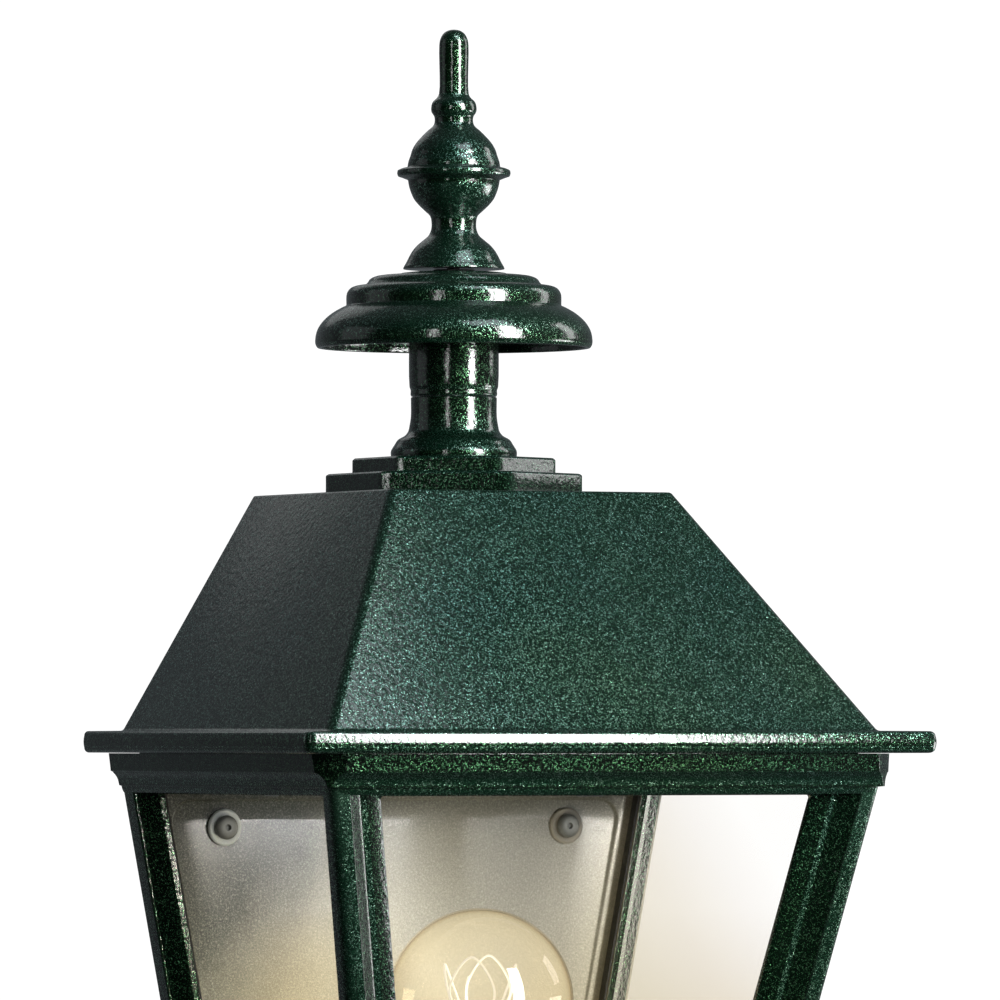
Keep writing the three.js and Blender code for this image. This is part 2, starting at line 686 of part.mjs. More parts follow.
function addChimney() {
  const steps = PLINTH_STEPS.map((step) => hexPrism(...step, STACK_Y));
  const plinth = cut(
    join(...steps, turned(PLINTH_NECK, STACK_Y, 36)),
    turned(PLINTH_HOLLOW, STACK_Y, 32),
    cylinderZ(ROD_BORE_R, 140, 155, 0, STACK_Y),
  );
  addPiece('chimney_plinth', plinth, FINISH.green);
  addPiece('chimney_cap', turned(CAP_PROFILE, STACK_Y, 40), FINISH.green);
}

function addFinial() {
  addPiece('finial_washer', bush(ROD_BORE_R, 9, 204.9, 206.1, STACK_Y, 24), FINISH.rubber);
  const rodHole = cylinderZ(ROD_HOLE_R, 200, 233, 0, STACK_Y);
  addPiece('finial', cut(turned(FINIAL_PROFILE, STACK_Y, 28), rodHole), FINISH.green);
}

// ------------------------------------------------------ tie rod and crossbar
const ROD_R = 3.0;              // M6
const ROD_TOP = 230;
const ROD_BOTTOM = -17;
const BAR_BOTTOM = LUG_TOP + SEAT_GAP;
const BAR_TOP = BAR_BOTTOM + 2.6;
const BAR_HALF_L = 114;
const BAR_HALF_W = 9;
const ROD_NUT_R = 5.75;

function addCrossbar() {
  addPiece('tie_rod', cylinderZ(ROD_R, ROD_BOTTOM, ROD_TOP, 0, STACK_Y), FINISH.steel);
  const rodHole = cylinderZ(ROD_HOLE_R, -30, 10, 0, STACK_Y);
  const bar = cut(
    box(
      -BAR_HALF_L, BAR_HALF_L, STACK_Y - BAR_HALF_W, STACK_Y + BAR_HALF_W, BAR_BOTTOM, BAR_TOP,
    ),
    rodHole,
    ...SIDES.map(([, side]) => cylinderZ(2.2, -20, 0, side * BAR_SCREW_X, STACK_Y, 16)),
  );
  addPiece('crossbar', bar, FINISH.steel);
  const nuts = [
    ['upper', BAR_TOP + SEAT_GAP, BAR_TOP + 5],
    ['lower', BAR_BOTTOM - 5.1, BAR_BOTTOM - SEAT_GAP],
  ];
  for (const [name, bottom, top] of nuts) {
    const nut = cut(hexPrism(ROD_NUT_R, bottom, top, STACK_Y), rodHole);
    addPiece(`rod_nut_${name}`, nut, FINISH.steel);
  }
  for (const [name, side] of SIDES) {
    const x = side * BAR_SCREW_X;
    const shank = cylinderZ(2.0, LUG_BOTTOM + 0.4, BAR_TOP + 0.4, x, STACK_Y, 16);
    const head = cylinderZ(3.8, BAR_TOP + SEAT_GAP, BAR_TOP + 2.6, x, STACK_Y, 20);
    addPiece(`crossbar_screw_${name}`, join(shank, head), FINISH.steel);
  }
}

// ------------------------------------------------------------- bottom tray
const TRAY_TOP = BODY_BOTTOM - 0.3;
// stations, (half width, depth, z, corner radius)
const TRAY_OUTSIDE = [
  [58, FOOT_DEPTH - 24, TRAY_FLOOR, 5],
  [62, FOOT_DEPTH - 20, TRAY_FLOOR + 1.6, 5],
  [63, FOOT_DEPTH - 19, -302.5, 5],
  [65.5, FOOT_DEPTH - 16.5, -297.5, 5],
  [69.5, FOOT_DEPTH - 12.5, -292.8, 5],
  [70.6, FOOT_DEPTH - 11.4, -289.0, 5],
  [FOOT_HALF_W + 4.2, FOOT_DEPTH + 4.2, -288.9, 7],
  [FOOT_HALF_W + 5, FOOT_DEPTH + 5, -287.6, 7],
  [FOOT_HALF_W + 5, FOOT_DEPTH + 5, -285.4, 7],
  [FOOT_HALF_W + 4.2, FOOT_DEPTH + 4.2, TRAY_TOP, 7],
];
const TRAY_CAVITY = [
  [57, FOOT_DEPTH - 25, FLOOR_TOP, 3],
  [59, FOOT_DEPTH - 23, -302, 3],
  [65.5, FOOT_DEPTH - 16.5, -292, 3],
  [66, FOOT_DEPTH - 16, TRAY_TOP + 1, 3],
];
// drop turned in one with its stud, (radius, z)
const PENDANT_PROFILE = [
  [0, -346.4], [2.6, -345.8], [4.4, -344.0], [5.0, -341.6], [4.4, -339.2], [3.4, -337.6],
  [3.6, -336.2], [7.0, -333.8], [10.6, -330.6], [12.4, -326.8], [12.6, -323.4],
  [11.2, -320.6], [9.0, -318.8], [9.0, -317.4], [16.5, -315.6], [18.4, -314.2],
  [18.6, -312.2], [17.8, -310.8], [15.4, -309.4], [15.0, -308.3], [4.0, -308.3],
  [4.0, -291.5], [0, -291.5],
];
const STUD_HOLE_R = 4.2;        // in the tray and in the foot of the bracket

function addTray() {
  const tray = cut(
    planLoft(TRAY_OUTSIDE, REAR_GAP),
    planLoft(TRAY_CAVITY, REAR_GAP + TRAY_T),
    cylinderZ(STUD_HOLE_R, TRAY_FLOOR - 2, TRAY_FLOOR + 8, 0, STACK_Y, 20),
    ...TRAY_SCREWS.map(({ x, y }) => cylinderZ(2.3, -295, -280, x, y, 16)),
  );
  addPiece('bottom_tray', tray, FINISH.green);
  for (const { name, x, y } of TRAY_SCREWS) {
    const shank = cylinderZ(1.75, -290, BODY_BOTTOM + 9, x, y, 12);
    const head = cylinderZ(3.4, -291.4, -289.2, x, y, 16);
    addPiece(`tray_screw_${name}`, join(shank, head), FINISH.steel);
  }
}

function addPendant() {
  addPiece('pendant', turned(PENDANT_PROFILE, STACK_Y, 24), FINISH.green);
  const nut = cut(
    hexPrism(7.2, FLOOR_TOP + 3.2, FLOOR_TOP + 8.4, STACK_Y),
    cylinderZ(4.1, -310, -280, 0, STACK_Y, 20),
  );
  addPiece('pendant_nut', nut, FINISH.steel);
}

// ---------------------------------------------------------------- lampholder
const BRACKET_T = 2.5;
const BRACKET_W = 20;
const BRACKET_FOOT = FLOOR_TOP + SEAT_GAP;       // underside of the foot
const SHELF_Z = -231;                            // underside of the shelf
const LEG_Y = STACK_Y - 13;
const HOLDER_BOTTOM = SHELF_Z + BRACKET_T + SEAT_GAP;
// outline of the bracket, (y, z): foot, leg, shelf and back
const BRACKET_OUTLINE = [
  [STACK_Y + 10, BRACKET_FOOT], [STACK_Y + 10, BRACKET_FOOT + BRACKET_T],
  [LEG_Y + BRACKET_T, BRACKET_FOOT + BRACKET_T], [LEG_Y + BRACKET_T, SHELF_Z + BRACKET_T],
  [LAMP_Y - 11, SHELF_Z + BRACKET_T], [LAMP_Y - 11, SHELF_Z],
  [LEG_Y, SHELF_Z], [LEG_Y, BRACKET_FOOT],
];
// turned profiles, (radius, z)
const HOLDER_PROFILE = [
  [5.2, HOLDER_BOTTOM], [11.5, HOLDER_BOTTOM], [12.5, -226.5], [13.5, -222], [18.5, -213],
  [20.6, -209], [20.6, -199.6], [21.6, -198.8], [21.6, -193.4], [20.6, -192.6],
  [19.6, -170.5], [18.8, -168.4], [16.6, -167.6], [16.2, -168.4], [16.2, -199.5],
  [10, -201.5], [8.5, -212], [5.2, -215.5], [5.2, HOLDER_BOTTOM],
];
const INSERT_PROFILE = [[0, -199.0], [9.6, -199.0], [15.9, -198.6], [15.9, -194.0], [0, -194.0]];
// sprung centre contact, (y from the lamp axis, z): foot on the insert, tongue bent
// over under the lamp
const SPRING_SECTION = [
  [6, -193.75], [-4.2, -193.75], [-4.8, -193.1], [-4.2, -192.1], [4, -191.2],
  [4, -191.7], [-3.6, -192.6], [-3.9, -193.0], [-3.6, -193.25], [6, -193.25],
];

function addBracket() {
  const bracket = cut(
    toSolid(acrossWidth(BRACKET_OUTLINE, BRACKET_W)),
    cylinderZ(STUD_HOLE_R, BRACKET_FOOT - 2, BRACKET_FOOT + 5, 0, STACK_Y, 20),
    cylinderZ(5.2, SHELF_Z - 2, SHELF_Z + 5, 0, LAMP_Y),
  );
  addPiece('lampholder_bracket', bracket, FINISH.steel);
  const nipple = bush(3.4, 4.95, SHELF_Z - 8, SHELF_Z + 15, LAMP_Y, 24);
  addPiece('lampholder_nipple', nipple, FINISH.brass);
  const nut = cut(
    hexPrism(8.1, SHELF_Z - 4.2, SHELF_Z - SEAT_GAP, LAMP_Y),
    cylinderZ(5.1, SHELF_Z - 9, SHELF_Z + 2, 0, LAMP_Y),
  );
  addPiece('nipple_nut', nut, FINISH.brass);
}

function addLampholder() {
  addPiece('lampholder_body', turned(HOLDER_PROFILE, LAMP_Y, 28), FINISH.holder);
  const shell = bush(13.7, 14.5, -193.6, -170.6, LAMP_Y, 32);
  addPiece('lampholder_shell', shell, FINISH.brass);
  addPiece('lampholder_insert', turned(INSERT_PROFILE, LAMP_Y, 32), FINISH.insert);
  const spring = acrossWidth(SPRING_SECTION.map(([y, z]) => [LAMP_Y + y, z]), 5);
  addPiece('lampholder_contact', toSolid(spring), FINISH.brass);
}

// ---------------------------------------------------------------------- bulb
const GLOBE_R = 40.5;
const GLOBE_Z = -112.6;
const GLOBE_T = 0.9;
const GLOBE_START_Z = -145.2;   // lowest point of the spherical part
// neck of the globe, (outer radius, outer z, rise of the inner surface's point)
const NECK = [
  [12.35, -170.5, 0], [12.35, -163, 0], [13.6, -158.8, 0.5], [17.2, -153.6, 0.6],
  [23.4, -147.2, 0.8],
];
const THREAD_R = 13.15;         // crest of the E27 cap
const THREAD_ROOT_R = 12.95;
const THREAD_PITCH = 3.63;
const BULB_CONTACT_PROFILE = [
  [0, -190.9], [3.0, -190.8], [4.6, -190.2], [4.6, -189.65], [0, -189.65],
];
const STEM_PROFILE = [
  [0, -171.5], [6.5, -171.5], [7.2, -169], [7.4, -160], [5.2, -152], [3.2, -146],
  [2.8, -128], [3.4, -124], [2.4, -121.6], [0, -121],
];
// one filament loop, (distance from the lamp axis, z), going up, over and down
const FILAMENT_UP = [[2.4, -127], [9, -118], [15.5, -104]];
const FILAMENT_CREST = [[15, -97.5]];
const FILAMENT_DOWN = [[13.5, -105], [10.5, -120], [7, -133], [2.2, -138]];

function addGlobe() {
  // sphere from the neck up to its top, which lies exactly on the axis
  const start = Math.asin((GLOBE_START_Z - GLOBE_Z) / GLOBE_R);
  const dome = (radius) => {
    const points = arc(0, GLOBE_Z, radius, start, Math.PI / 2, 10);
    points[10][0] = 0;
    return points;
  };
  const outer = [...NECK.map(([radius, z]) => [radius, z]), ...dome(GLOBE_R)];
  const inner = [
    ...NECK.map(([radius, z, rise]) => [radius - GLOBE_T, z + rise]), ...dome(GLOBE_R - GLOBE_T),
  ];
  addPiece('bulb_globe', turned([...inner.reverse(), ...outer], LAMP_Y, 32), FINISH.globe);
}

function addBulbCap() {
  const ridges = [0, 1, 2, 3, 4].flatMap((k) => {
    const z = -168.5 - k * THREAD_PITCH;
    return [[THREAD_ROOT_R, z + 1.2], [THREAD_R, z], [THREAD_ROOT_R, z - 1.2]];
  });
  const profile = [
    [0, -187.6], [9.5, -187.2], [12.65, -184.8], [12.65, -163.6], [THREAD_ROOT_R, -163.6],
    ...ridges,
    [THREAD_ROOT_R, -185.4], [10.4, -187.6], [6.0, -189.4], [0, -189.4],
  ];
  addPiece('bulb_cap', turned(profile, LAMP_Y, 24), FINISH.bulbCap);
  addPiece('bulb_contact', turned(BULB_CONTACT_PROFILE, LAMP_Y, 24), FINISH.bulbContact);
}

// glass stem with the looped filament it carries
function addFilament() {
  const heading = (angle) => new THREE.Vector2(Math.cos(angle), Math.sin(angle));
  const along = (direction, points) => points.map(
    ([distance, z]) => [distance * direction.x, LAMP_Y + distance * direction.y, z],
  );
  const loops = [0, 1, 2, 3].map((k) => {
    const angle = (k * Math.PI) / 2 + Math.PI / 6;
    const up = heading(angle);
    const down = heading(angle + 0.9);
    const middle = up.clone().add(down).multiplyScalar(0.5);
    return wire([
      ...along(up, FILAMENT_UP), ...along(middle, FILAMENT_CREST), ...along(down, FILAMENT_DOWN),
    ], 0.6, 18, 5);
  });
  addPiece('bulb_filament', join(turned(STEM_PROFILE, LAMP_Y, 16), ...loops), FINISH.filament);
}

// -------------------------------------------------------------------- wiring
const BLOCK = { x0: 24, x1: 52, y0: -19.5, y1: -4.35, z0: -246, z1: -230 };
const BLOCK_WAYS = [30, 38, 46];    // x of the three wire channels
const BLOCK_GROOVES = [34, 42];     // x of the grooves between them
const CHANNEL_Y = -11.5;
// (radius, distance from the wall)
const GROMMET_PROFILE = [
  [3.6, 0.6], [5.75, 0.6], [5.75, 4.3], [8.6, 4.3], [8.6, 6.0], [6.4, 7.4], [3.6, 7.4],
  [3.6, 0.6],
];
// wire paths, (x, y, z); the cable ends at the terminal block's lower mouths
const SUPPLY_PATH = [
  [0, -0.9, GROMMET_Z], [0, -6, GROMMET_Z], [1.5, -12, GROMMET_Z - 2],
  [8, -15.5, GROMMET_Z - 10], [18, -15, GROMMET_Z - 19], [28, -13, GROMMET_Z - 19.5],
  [35, -11.8, GROMMET_Z - 16], [38, CHANNEL_Y, -248.4],
];
const LIVE_PATH = [
  [30, CHANNEL_Y, -229.4], [30, -13, -222], [27, -34, -216], [20, -56, -224],
  [16, -74, -240], [10, -86, -252], [2.2, LAMP_Y - 0.4, -248],
  [1.3, LAMP_Y, -240], [1.3, LAMP_Y, -228], [1.3, LAMP_Y, -217],
];
const NEUTRAL_PATH = [
  [46, CHANNEL_Y, -229.4], [46, -14, -220], [39, -38, -212], [28, -62, -226],
  [20, -80, -246], [8, -91, -258], [-1.6, LAMP_Y - 1.2, -251],
  [-1.3, LAMP_Y, -240], [-1.3, LAMP_Y, -228], [-1.3, LAMP_Y, -217],
];

function addTerminalBlock() {
  const { x0, x1, y0, y1, z0, z1 } = BLOCK;
  const channels = BLOCK_WAYS.flatMap((x) => [
    cylinderZ(2.2, z0 - 1, z1 + 1, x, CHANNEL_Y, 12),
    cylinderY(1.7, y0 - 1, CHANNEL_Y, x, z0 + 4.5, 12),
    cylinderY(1.7, y0 - 1, CHANNEL_Y, x, z1 - 4.5, 12),
  ]);
  const grooves = BLOCK_GROOVES.map((x) => box(x - 0.4, x + 0.4, y0 - 1, -14, z0 - 1, z1 + 1));
  const block = cut(box(x0, x1, y0, y1, z0, z1), ...channels, ...grooves);
  addPiece('terminal_block', block, FINISH.terminal);
}

function addWires() {
  const grommet = turnedOffWall(GROMMET_PROFILE, 0, GROMMET_Z, 20);
  addPiece('cable_grommet', grommet, FINISH.rubber);
  addPiece('supply_cable', wire(SUPPLY_PATH, 3.2, 20, 10), FINISH.sheath);
  addPiece('lamp_wire_live', wire(LIVE_PATH, 1.1, 26, 6), FINISH.brownWire);
  addPiece('lamp_wire_neutral', wire(NEUTRAL_PATH, 1.1, 26, 6), FINISH.blueWire);
}

function addEarthScrew() {
  const shank = cylinderY(2.0, -5.4, -1.6, EARTH_X, EARTH_Z, 16);
  const head = cylinderY(3.9, -7.2, -4.8, EARTH_X, EARTH_Z, 20);
  const slot = box(EARTH_X - 5, EARTH_X + 5, -7.6, -6.4, EARTH_Z - 0.5, EARTH_Z + 0.5);
  addPiece('earth_screw', cut(join(shank, head), slot), FINISH.brass);
}

// ------------------------------------------------------------- wall fixings
// (radius, distance from the wall)
const WASHER_PROFILE = [
  [3.2, PANEL_T + 0.2], [8.1, PANEL_T + 0.2], [8.1, PANEL_T + 1.2], [7.2, PANEL_T + 1.9],
  [3.2, PANEL_T + 1.9], [3.2, PANEL_T + 0.2],
];
const WALL_SCREW_PROFILE = [
  [0, 0.4], [2.8, 0.4], [2.8, PANEL_T + 2.1], [5.6, PANEL_T + 2.1], [5.6, PANEL_T + 3.4],
  [4.6, PANEL_T + 4.4], [2.4, PANEL_T + 5.0], [0, PANEL_T + 5.2],
];

function addWallFixings() {
  // one arm of the cross slot, given by its half extents in x and z
  const slot = (x, halfX, halfZ) => box(
    x - halfX, x + halfX, -PANEL_T - 6, -PANEL_T - 3.9,
    WALL_SCREW_Z - halfZ, WALL_SCREW_Z + halfZ,
  );
  for (const [name, side] of SIDES) {
    const x = side * WALL_SCREW_X;
    const washer = turnedOffWall(WASHER_PROFILE, x, WALL_SCREW_Z, 28);
    addPiece(`wall_washer_${name}`, washer, FINISH.washer);
    const screw = turnedOffWall(WALL_SCREW_PROFILE, x, WALL_SCREW_Z, 22);
    const slotted = cut(screw, slot(x, 3.4, 0.55), slot(x, 0.55, 3.4));
    addPiece(`wall_screw_${name}`, slotted, FINISH.steel);
  }
}

// ------------------------------------------------------------------ assembly
addBodyFrame();
addPanes();
addSeals();
addClips();
addRoof();
addChimney();
addFinial();
addCrossbar();
addTray();
addPendant();
addBracket();
addLampholder();
addGlobe();
addBulbCap();
addFilament();
addTerminalBlock();
addWires();
addEarthScrew();
addWallFixings();

export default lantern;
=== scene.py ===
"""Wall lantern with a pyramid roof, a chimney and finial, three panes and a lit lamp.

The back lies on the plane Y = 0, the front faces -Y and X runs across, with the left at -X.
Meshes are written in millimetres, with heights counted from the middle of the eave rim.
The lathe profiles list (radius, height).
"""
import bpy
import bmesh
import math
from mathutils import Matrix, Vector
from mathutils.geometry import tessellate_polygon


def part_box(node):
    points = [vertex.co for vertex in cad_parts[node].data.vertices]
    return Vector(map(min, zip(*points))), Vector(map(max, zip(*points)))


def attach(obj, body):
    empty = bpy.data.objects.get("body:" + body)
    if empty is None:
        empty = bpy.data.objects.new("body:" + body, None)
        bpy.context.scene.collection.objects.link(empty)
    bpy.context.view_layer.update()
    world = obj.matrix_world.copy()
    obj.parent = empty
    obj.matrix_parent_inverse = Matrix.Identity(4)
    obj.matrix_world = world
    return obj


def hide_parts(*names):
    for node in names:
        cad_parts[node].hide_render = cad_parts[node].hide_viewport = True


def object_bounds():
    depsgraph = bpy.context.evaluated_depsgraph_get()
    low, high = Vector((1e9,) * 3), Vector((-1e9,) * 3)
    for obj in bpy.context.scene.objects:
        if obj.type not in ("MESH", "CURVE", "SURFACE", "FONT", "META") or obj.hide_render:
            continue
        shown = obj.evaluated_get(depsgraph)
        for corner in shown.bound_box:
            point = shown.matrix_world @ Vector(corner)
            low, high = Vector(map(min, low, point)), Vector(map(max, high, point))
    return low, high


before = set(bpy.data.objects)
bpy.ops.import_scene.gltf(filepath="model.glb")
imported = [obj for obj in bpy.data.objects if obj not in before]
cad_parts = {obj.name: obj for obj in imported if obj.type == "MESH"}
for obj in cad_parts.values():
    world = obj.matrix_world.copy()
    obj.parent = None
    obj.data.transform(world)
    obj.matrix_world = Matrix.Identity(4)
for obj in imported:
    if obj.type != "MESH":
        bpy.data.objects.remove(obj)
CAD_LO, CAD_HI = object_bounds()

# ------------------------------------------------------------------ reference
MM = 0.001                # metres in a millimetre
LOW, HIGH = 0, 1          # the two corners of a box
SIDES = {"left": -1, "right": 1}


def level(name, corner):
    """Absolute height in mm of the bottom or top of a CAD piece."""
    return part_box(name)[corner].z * 1000


def middle_y(name):
    low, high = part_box(name)
    return (low.y + high.y) * 500


RIM = 4.7                 # half the height of the eave rim
EAVE = level("roof", LOW) + RIM
STACK_Y = middle_y("finial")
LAMP_Y = middle_y("bulb_globe")
ROOF_HALF_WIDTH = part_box("roof")[HIGH].x * 1000
ROOF_DEPTH = -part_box("roof")[LOW].y * 1000
BODY_BOTTOM = level("body_frame", LOW) - EAVE
ROD_BOTTOM, ROD_TOP = (level("tie_rod", corner) - EAVE for corner in (LOW, HIGH))
GLOBE_RADIUS = 40.5
GLOBE_Z = level("bulb_globe", HIGH) - EAVE - GLOBE_RADIUS

# the body tapers downwards from this size at TAPER_TOP
BODY_HALF_WIDTH = 129.9
BODY_DEPTH = 208.5
TAPER_TOP = -24
POST_RADIUS = 6.4         # rounding of the body's front corners


def half_width_at(z):
    return BODY_HALF_WIDTH - 0.192 * (TAPER_TOP - z)


def depth_at(z):
    return BODY_DEPTH - 0.22 * (TAPER_TOP - z)


# --------------------------------------------------------------------- curves
def fillet(points, radii, closed=False, segs=None):
    """Rounds the corners of a polyline in 2D or 3D, with one radius or one per point.

    Without segs each arc gets its steps from its turn, and slight turns are left alone.
    """
    points = [Vector(point) for point in points]
    count = len(points)
    if not isinstance(radii, (list, tuple)):
        radii = [radii] * count
    out = []
    for i, point in enumerate(points):
        if not closed and i in (0, count - 1):
            out.append(point)
            continue
        back, ahead = points[i - 1] - point, points[(i + 1) % count] - point
        back_len, ahead_len = back.length, ahead.length
        back, ahead = back / back_len, ahead / ahead_len
        angle = math.acos(max(-1.0, min(1.0, back.dot(ahead))))
        turn = math.degrees(math.pi - angle)
        if segs is None and (radii[i] <= 0 or turn < 6.0):
            out.append(point)
            continue
        steps = segs if segs is not None else max(2, int(turn / 15) + 1)
        # the arc never takes more than 0.47 of a neighbouring run
        cut = min(radii[i] / math.tan(angle / 2), 0.47 * back_len, 0.47 * ahead_len)
        radius = cut * math.tan(angle / 2)
        centre = point + (back + ahead).normalized() * (radius / math.sin(angle / 2))
        start, end = point + back * cut - centre, point + ahead * cut - centre
        cosine = start.normalized().dot(end.normalized())
        sweep = math.acos(max(-1.0, min(1.0, cosine)))
        for j in range(steps + 1):
            share = j / steps
            arm = start * math.sin((1 - share) * sweep) + end * math.sin(share * sweep)
            out.append(centre + arm / math.sin(sweep))
    return out


def between(first, second, first_time, second_time, time):
    span = second_time - first_time
    return first * ((second_time - time) / span) + second * ((time - first_time) / span)


def spline(run, sub):
    """Centripetal Catmull-Rom curve through a run of points, sub steps per span."""
    if len(run) < 3:
        return list(run)
    ends = [run[0] * 2 - run[1]] + list(run) + [run[-1] * 2 - run[-2]]
    out = []
    for p0, p1, p2, p3 in zip(ends, ends[1:], ends[2:], ends[3:]):
        t0 = 0.0
        t1 = t0 + (p1 - p0).length ** 0.5
        t2 = t1 + (p2 - p1).length ** 0.5
        t3 = t2 + (p3 - p2).length ** 0.5
        for j in range(sub):
            time = t1 + (t2 - t1) * j / sub
            near = between(p0, p1, t0, t1, time)
            middle = between(p1, p2, t1, t2, time)
            far = between(p2, p3, t2, t3, time)
            near = between(near, middle, t0, t2, time)
            far = between(middle, far, t1, t3, time)
            out.append(between(near, far, t1, t2, time))
    out.append(run[-1])
    return out


def refine(profile, corner=36, sub=4, r=0.5):
    """Splines the curved runs of a profile and rounds its corners.

    A turn of more than corner degrees is a corner, rounded with radius r.
    """
    points = [Vector(point) for point in profile]
    corners = [0]
    for i in range(1, len(points) - 1):
        before, after = points[i] - points[i - 1], points[i + 1] - points[i]
        if math.degrees(before.angle(after)) > corner:
            corners.append(i)
    corners.append(len(points) - 1)
    out, radii = [], []
    for first, last in zip(corners, corners[1:]):
        run = spline(points[first:last + 1], sub)
        if out:
            run = run[1:]
        out.extend(run)
        radii.extend([0.0] * (len(run) - 1) + [r])
    # curve points too close to a corner make room for its rounding
    kept = []
    for i, point in enumerate(out):
        crowded = radii[i] == 0 and 0 < i < len(out) - 1 and any(
            radii[j] > 0 and (out[j] - point).length < r * 0.9 for j in (i - 1, i + 1))
        if not crowded:
            kept.append(i)
    return fillet([out[i] for i in kept], [radii[i] for i in kept])


# --------------------------------------------------- meshes as (verts, faces)
def skin(loops, shape="ring"):
    """Quads between consecutive loops of equal length.

    "ring" joins the last loop to the first, "stack" caps the first and last loops,
    "bar" has open loops joined like a ring, with its two ends capped.
    """
    count, size = len(loops), len(loops[0])
    verts = [tuple(point) for loop in loops for point in loop]
    faces = []
    for k in range(count - (shape == "stack")):
        this, following = k * size, (k + 1) % count * size
        for i in range(size - (shape == "bar")):
            j = (i + 1) % size
            faces.append((this + i, this + j, following + j, following + i))
    if shape == "stack":
        faces.append(tuple(range(size)))
        faces.append(tuple(reversed(range((count - 1) * size, count * size))))
    if shape == "bar":
        faces.append(tuple(k * size for k in reversed(range(count))))
        faces.append(tuple(k * size + size - 1 for k in range(count)))
    return verts, faces


def turned(profile, sides=96, x=0.0, y=0.0, closed=False, wall_z=None):
    """Turns a profile about a vertical line at x, y.

    With wall_z the axis is level instead, coming forward from the wall at that height.
    """
    verts, faces, rows = [], [], []
    for radius, along in profile:
        count = 1 if radius < 1e-4 else sides
        rows.append(list(range(len(verts), len(verts) + count)))
        for i in range(count):
            angle = 2 * math.pi * i / sides
            across, other = radius * math.cos(angle), radius * math.sin(angle)
            if wall_z is None:
                verts.append((x + across, y + other, along))
            else:
                verts.append((x + across, -along, wall_z + other))
    pairs = list(zip(rows, rows[1:]))
    if closed:
        pairs.append((rows[-1], rows[0]))
    for low, high in pairs:
        if len(low) == 1 and len(high) == 1:
            continue
        for i in range(sides):
            j = (i + 1) % sides
            if len(low) == 1:
                faces.append((low[0], high[i], high[j]))
            elif len(high) == 1:
                faces.append((low[i], high[0], low[j]))
            else:
                faces.append((low[i], high[i], high[j], low[j]))
    return verts, faces


def round_loop(radius_at, z, sides, centre_y):
    """A level loop whose radius depends on the angle."""
    loop = []
    for i in range(sides):
        angle = 2 * math.pi * i / sides
        radius = radius_at(angle)
        loop.append((radius * math.cos(angle), centre_y + radius * math.sin(angle), z))
    return loop


def matching_circle(outline, radius, z):
    """A circle about the stack, with its points in line with those of an outline."""
    angles = [math.atan2(y - STACK_Y, x) for x, y, _ in outline]
    return [(radius * math.cos(angle), STACK_Y + radius * math.sin(angle), z)
            for angle in angles]


def flat_backed(half_width, depth, z, front_r, rear_r, rear, segs):
    """Level outline, counter-clockwise seen from above, with its back at y = -rear."""
    points = [(-half_width, -rear, z), (-half_width, -depth, z),
              (half_width, -depth, z), (half_width, -rear, z)]
    return fillet(points, [rear_r, front_r, front_r, rear_r], closed=True, segs=segs)


def open_backed(half_width, depth, z, rear, r, segs):
    """Level path along the left, front and right sides, open at the back."""
    points = [(-half_width, -rear, z), (-half_width, -depth, z),
              (half_width, -depth, z), (half_width, -rear, z)]
    return fillet(points, [0, r, r, 0], segs=segs)


def rounded_block(x0, x1, y0, y1, z0, z1, r):
    """A block with rounded edges all round."""
    levels = []
    for k in range(4):
        angle = math.pi / 2 * k / 3
        levels.append((r * (1 - math.sin(angle)), z0 + r * (1 - math.cos(angle))))
    levels += [(inset, z1 - (z - z0)) for inset, z in reversed(levels)]
    loops = []
    for inset, z in levels:
        left, right, front, back = x0 + inset, x1 - inset, y0 + inset, y1 - inset
        points = [(left, front, z), (right, front, z), (right, back, z), (left, back, z)]
        loops.append(fillet(points, max(r * 1.2 - inset, 0.15), closed=True, segs=4))
    return skin(loops, "stack")


def tube(points, radius, sides, sub=8, domed=True):
    """A round wire along a smooth curve, turning without twist."""
    path = spline([Vector(point) for point in points], sub)
    up = None
    loops = []
    for i, point in enumerate(path):
        before, after = path[max(i - 1, 0)], path[min(i + 1, len(path) - 1)]
        along = (after - before).normalized()
        if up is None:
            up = Vector((0, 0, 1)) if abs(along.z) < 0.9 else Vector((1, 0, 0))
        up = (up - along * up.dot(along)).normalized()
        side = along.cross(up)
        loop = []
        for k in range(sides):
            angle = 2 * math.pi * k / sides
            loop.append(point + up * (radius * math.cos(angle))
                        + side * (radius * math.sin(angle)))
        loops.append(loop)

    def dome(loop, outward):
        centre = sum(loop, Vector((0, 0, 0))) / len(loop)
        size = (loop[0] - centre).length
        # share of the radius, then height of the dome there
        return [[centre + (point - centre) * share + outward * (height * size)
                 for point in loop]
                for share, height in ((0.92, 0.25), (0.7, 0.45), (0.35, 0.56))]

    if domed:
        start = dome(loops[0], (path[0] - path[1]).normalized())
        end = dome(loops[-1], (path[-1] - path[-2]).normalized())
        loops = start[::-1] + loops + end
    return skin(loops, "stack")


def merged(meshes):
    verts, faces = [], []
    for part_verts, part_faces in meshes:
        offset = len(verts)
        verts.extend(part_verts)
        faces.extend(tuple(i + offset for i in face) for face in part_faces)
    return verts, faces


def smooth(mesh, angle):
    """Smooth shading, with edges sharper than an angle in degrees kept sharp."""
    for face in mesh.polygons:
        face.use_smooth = True
    mesh.set_sharp_from_angle(angle=math.radians(angle))


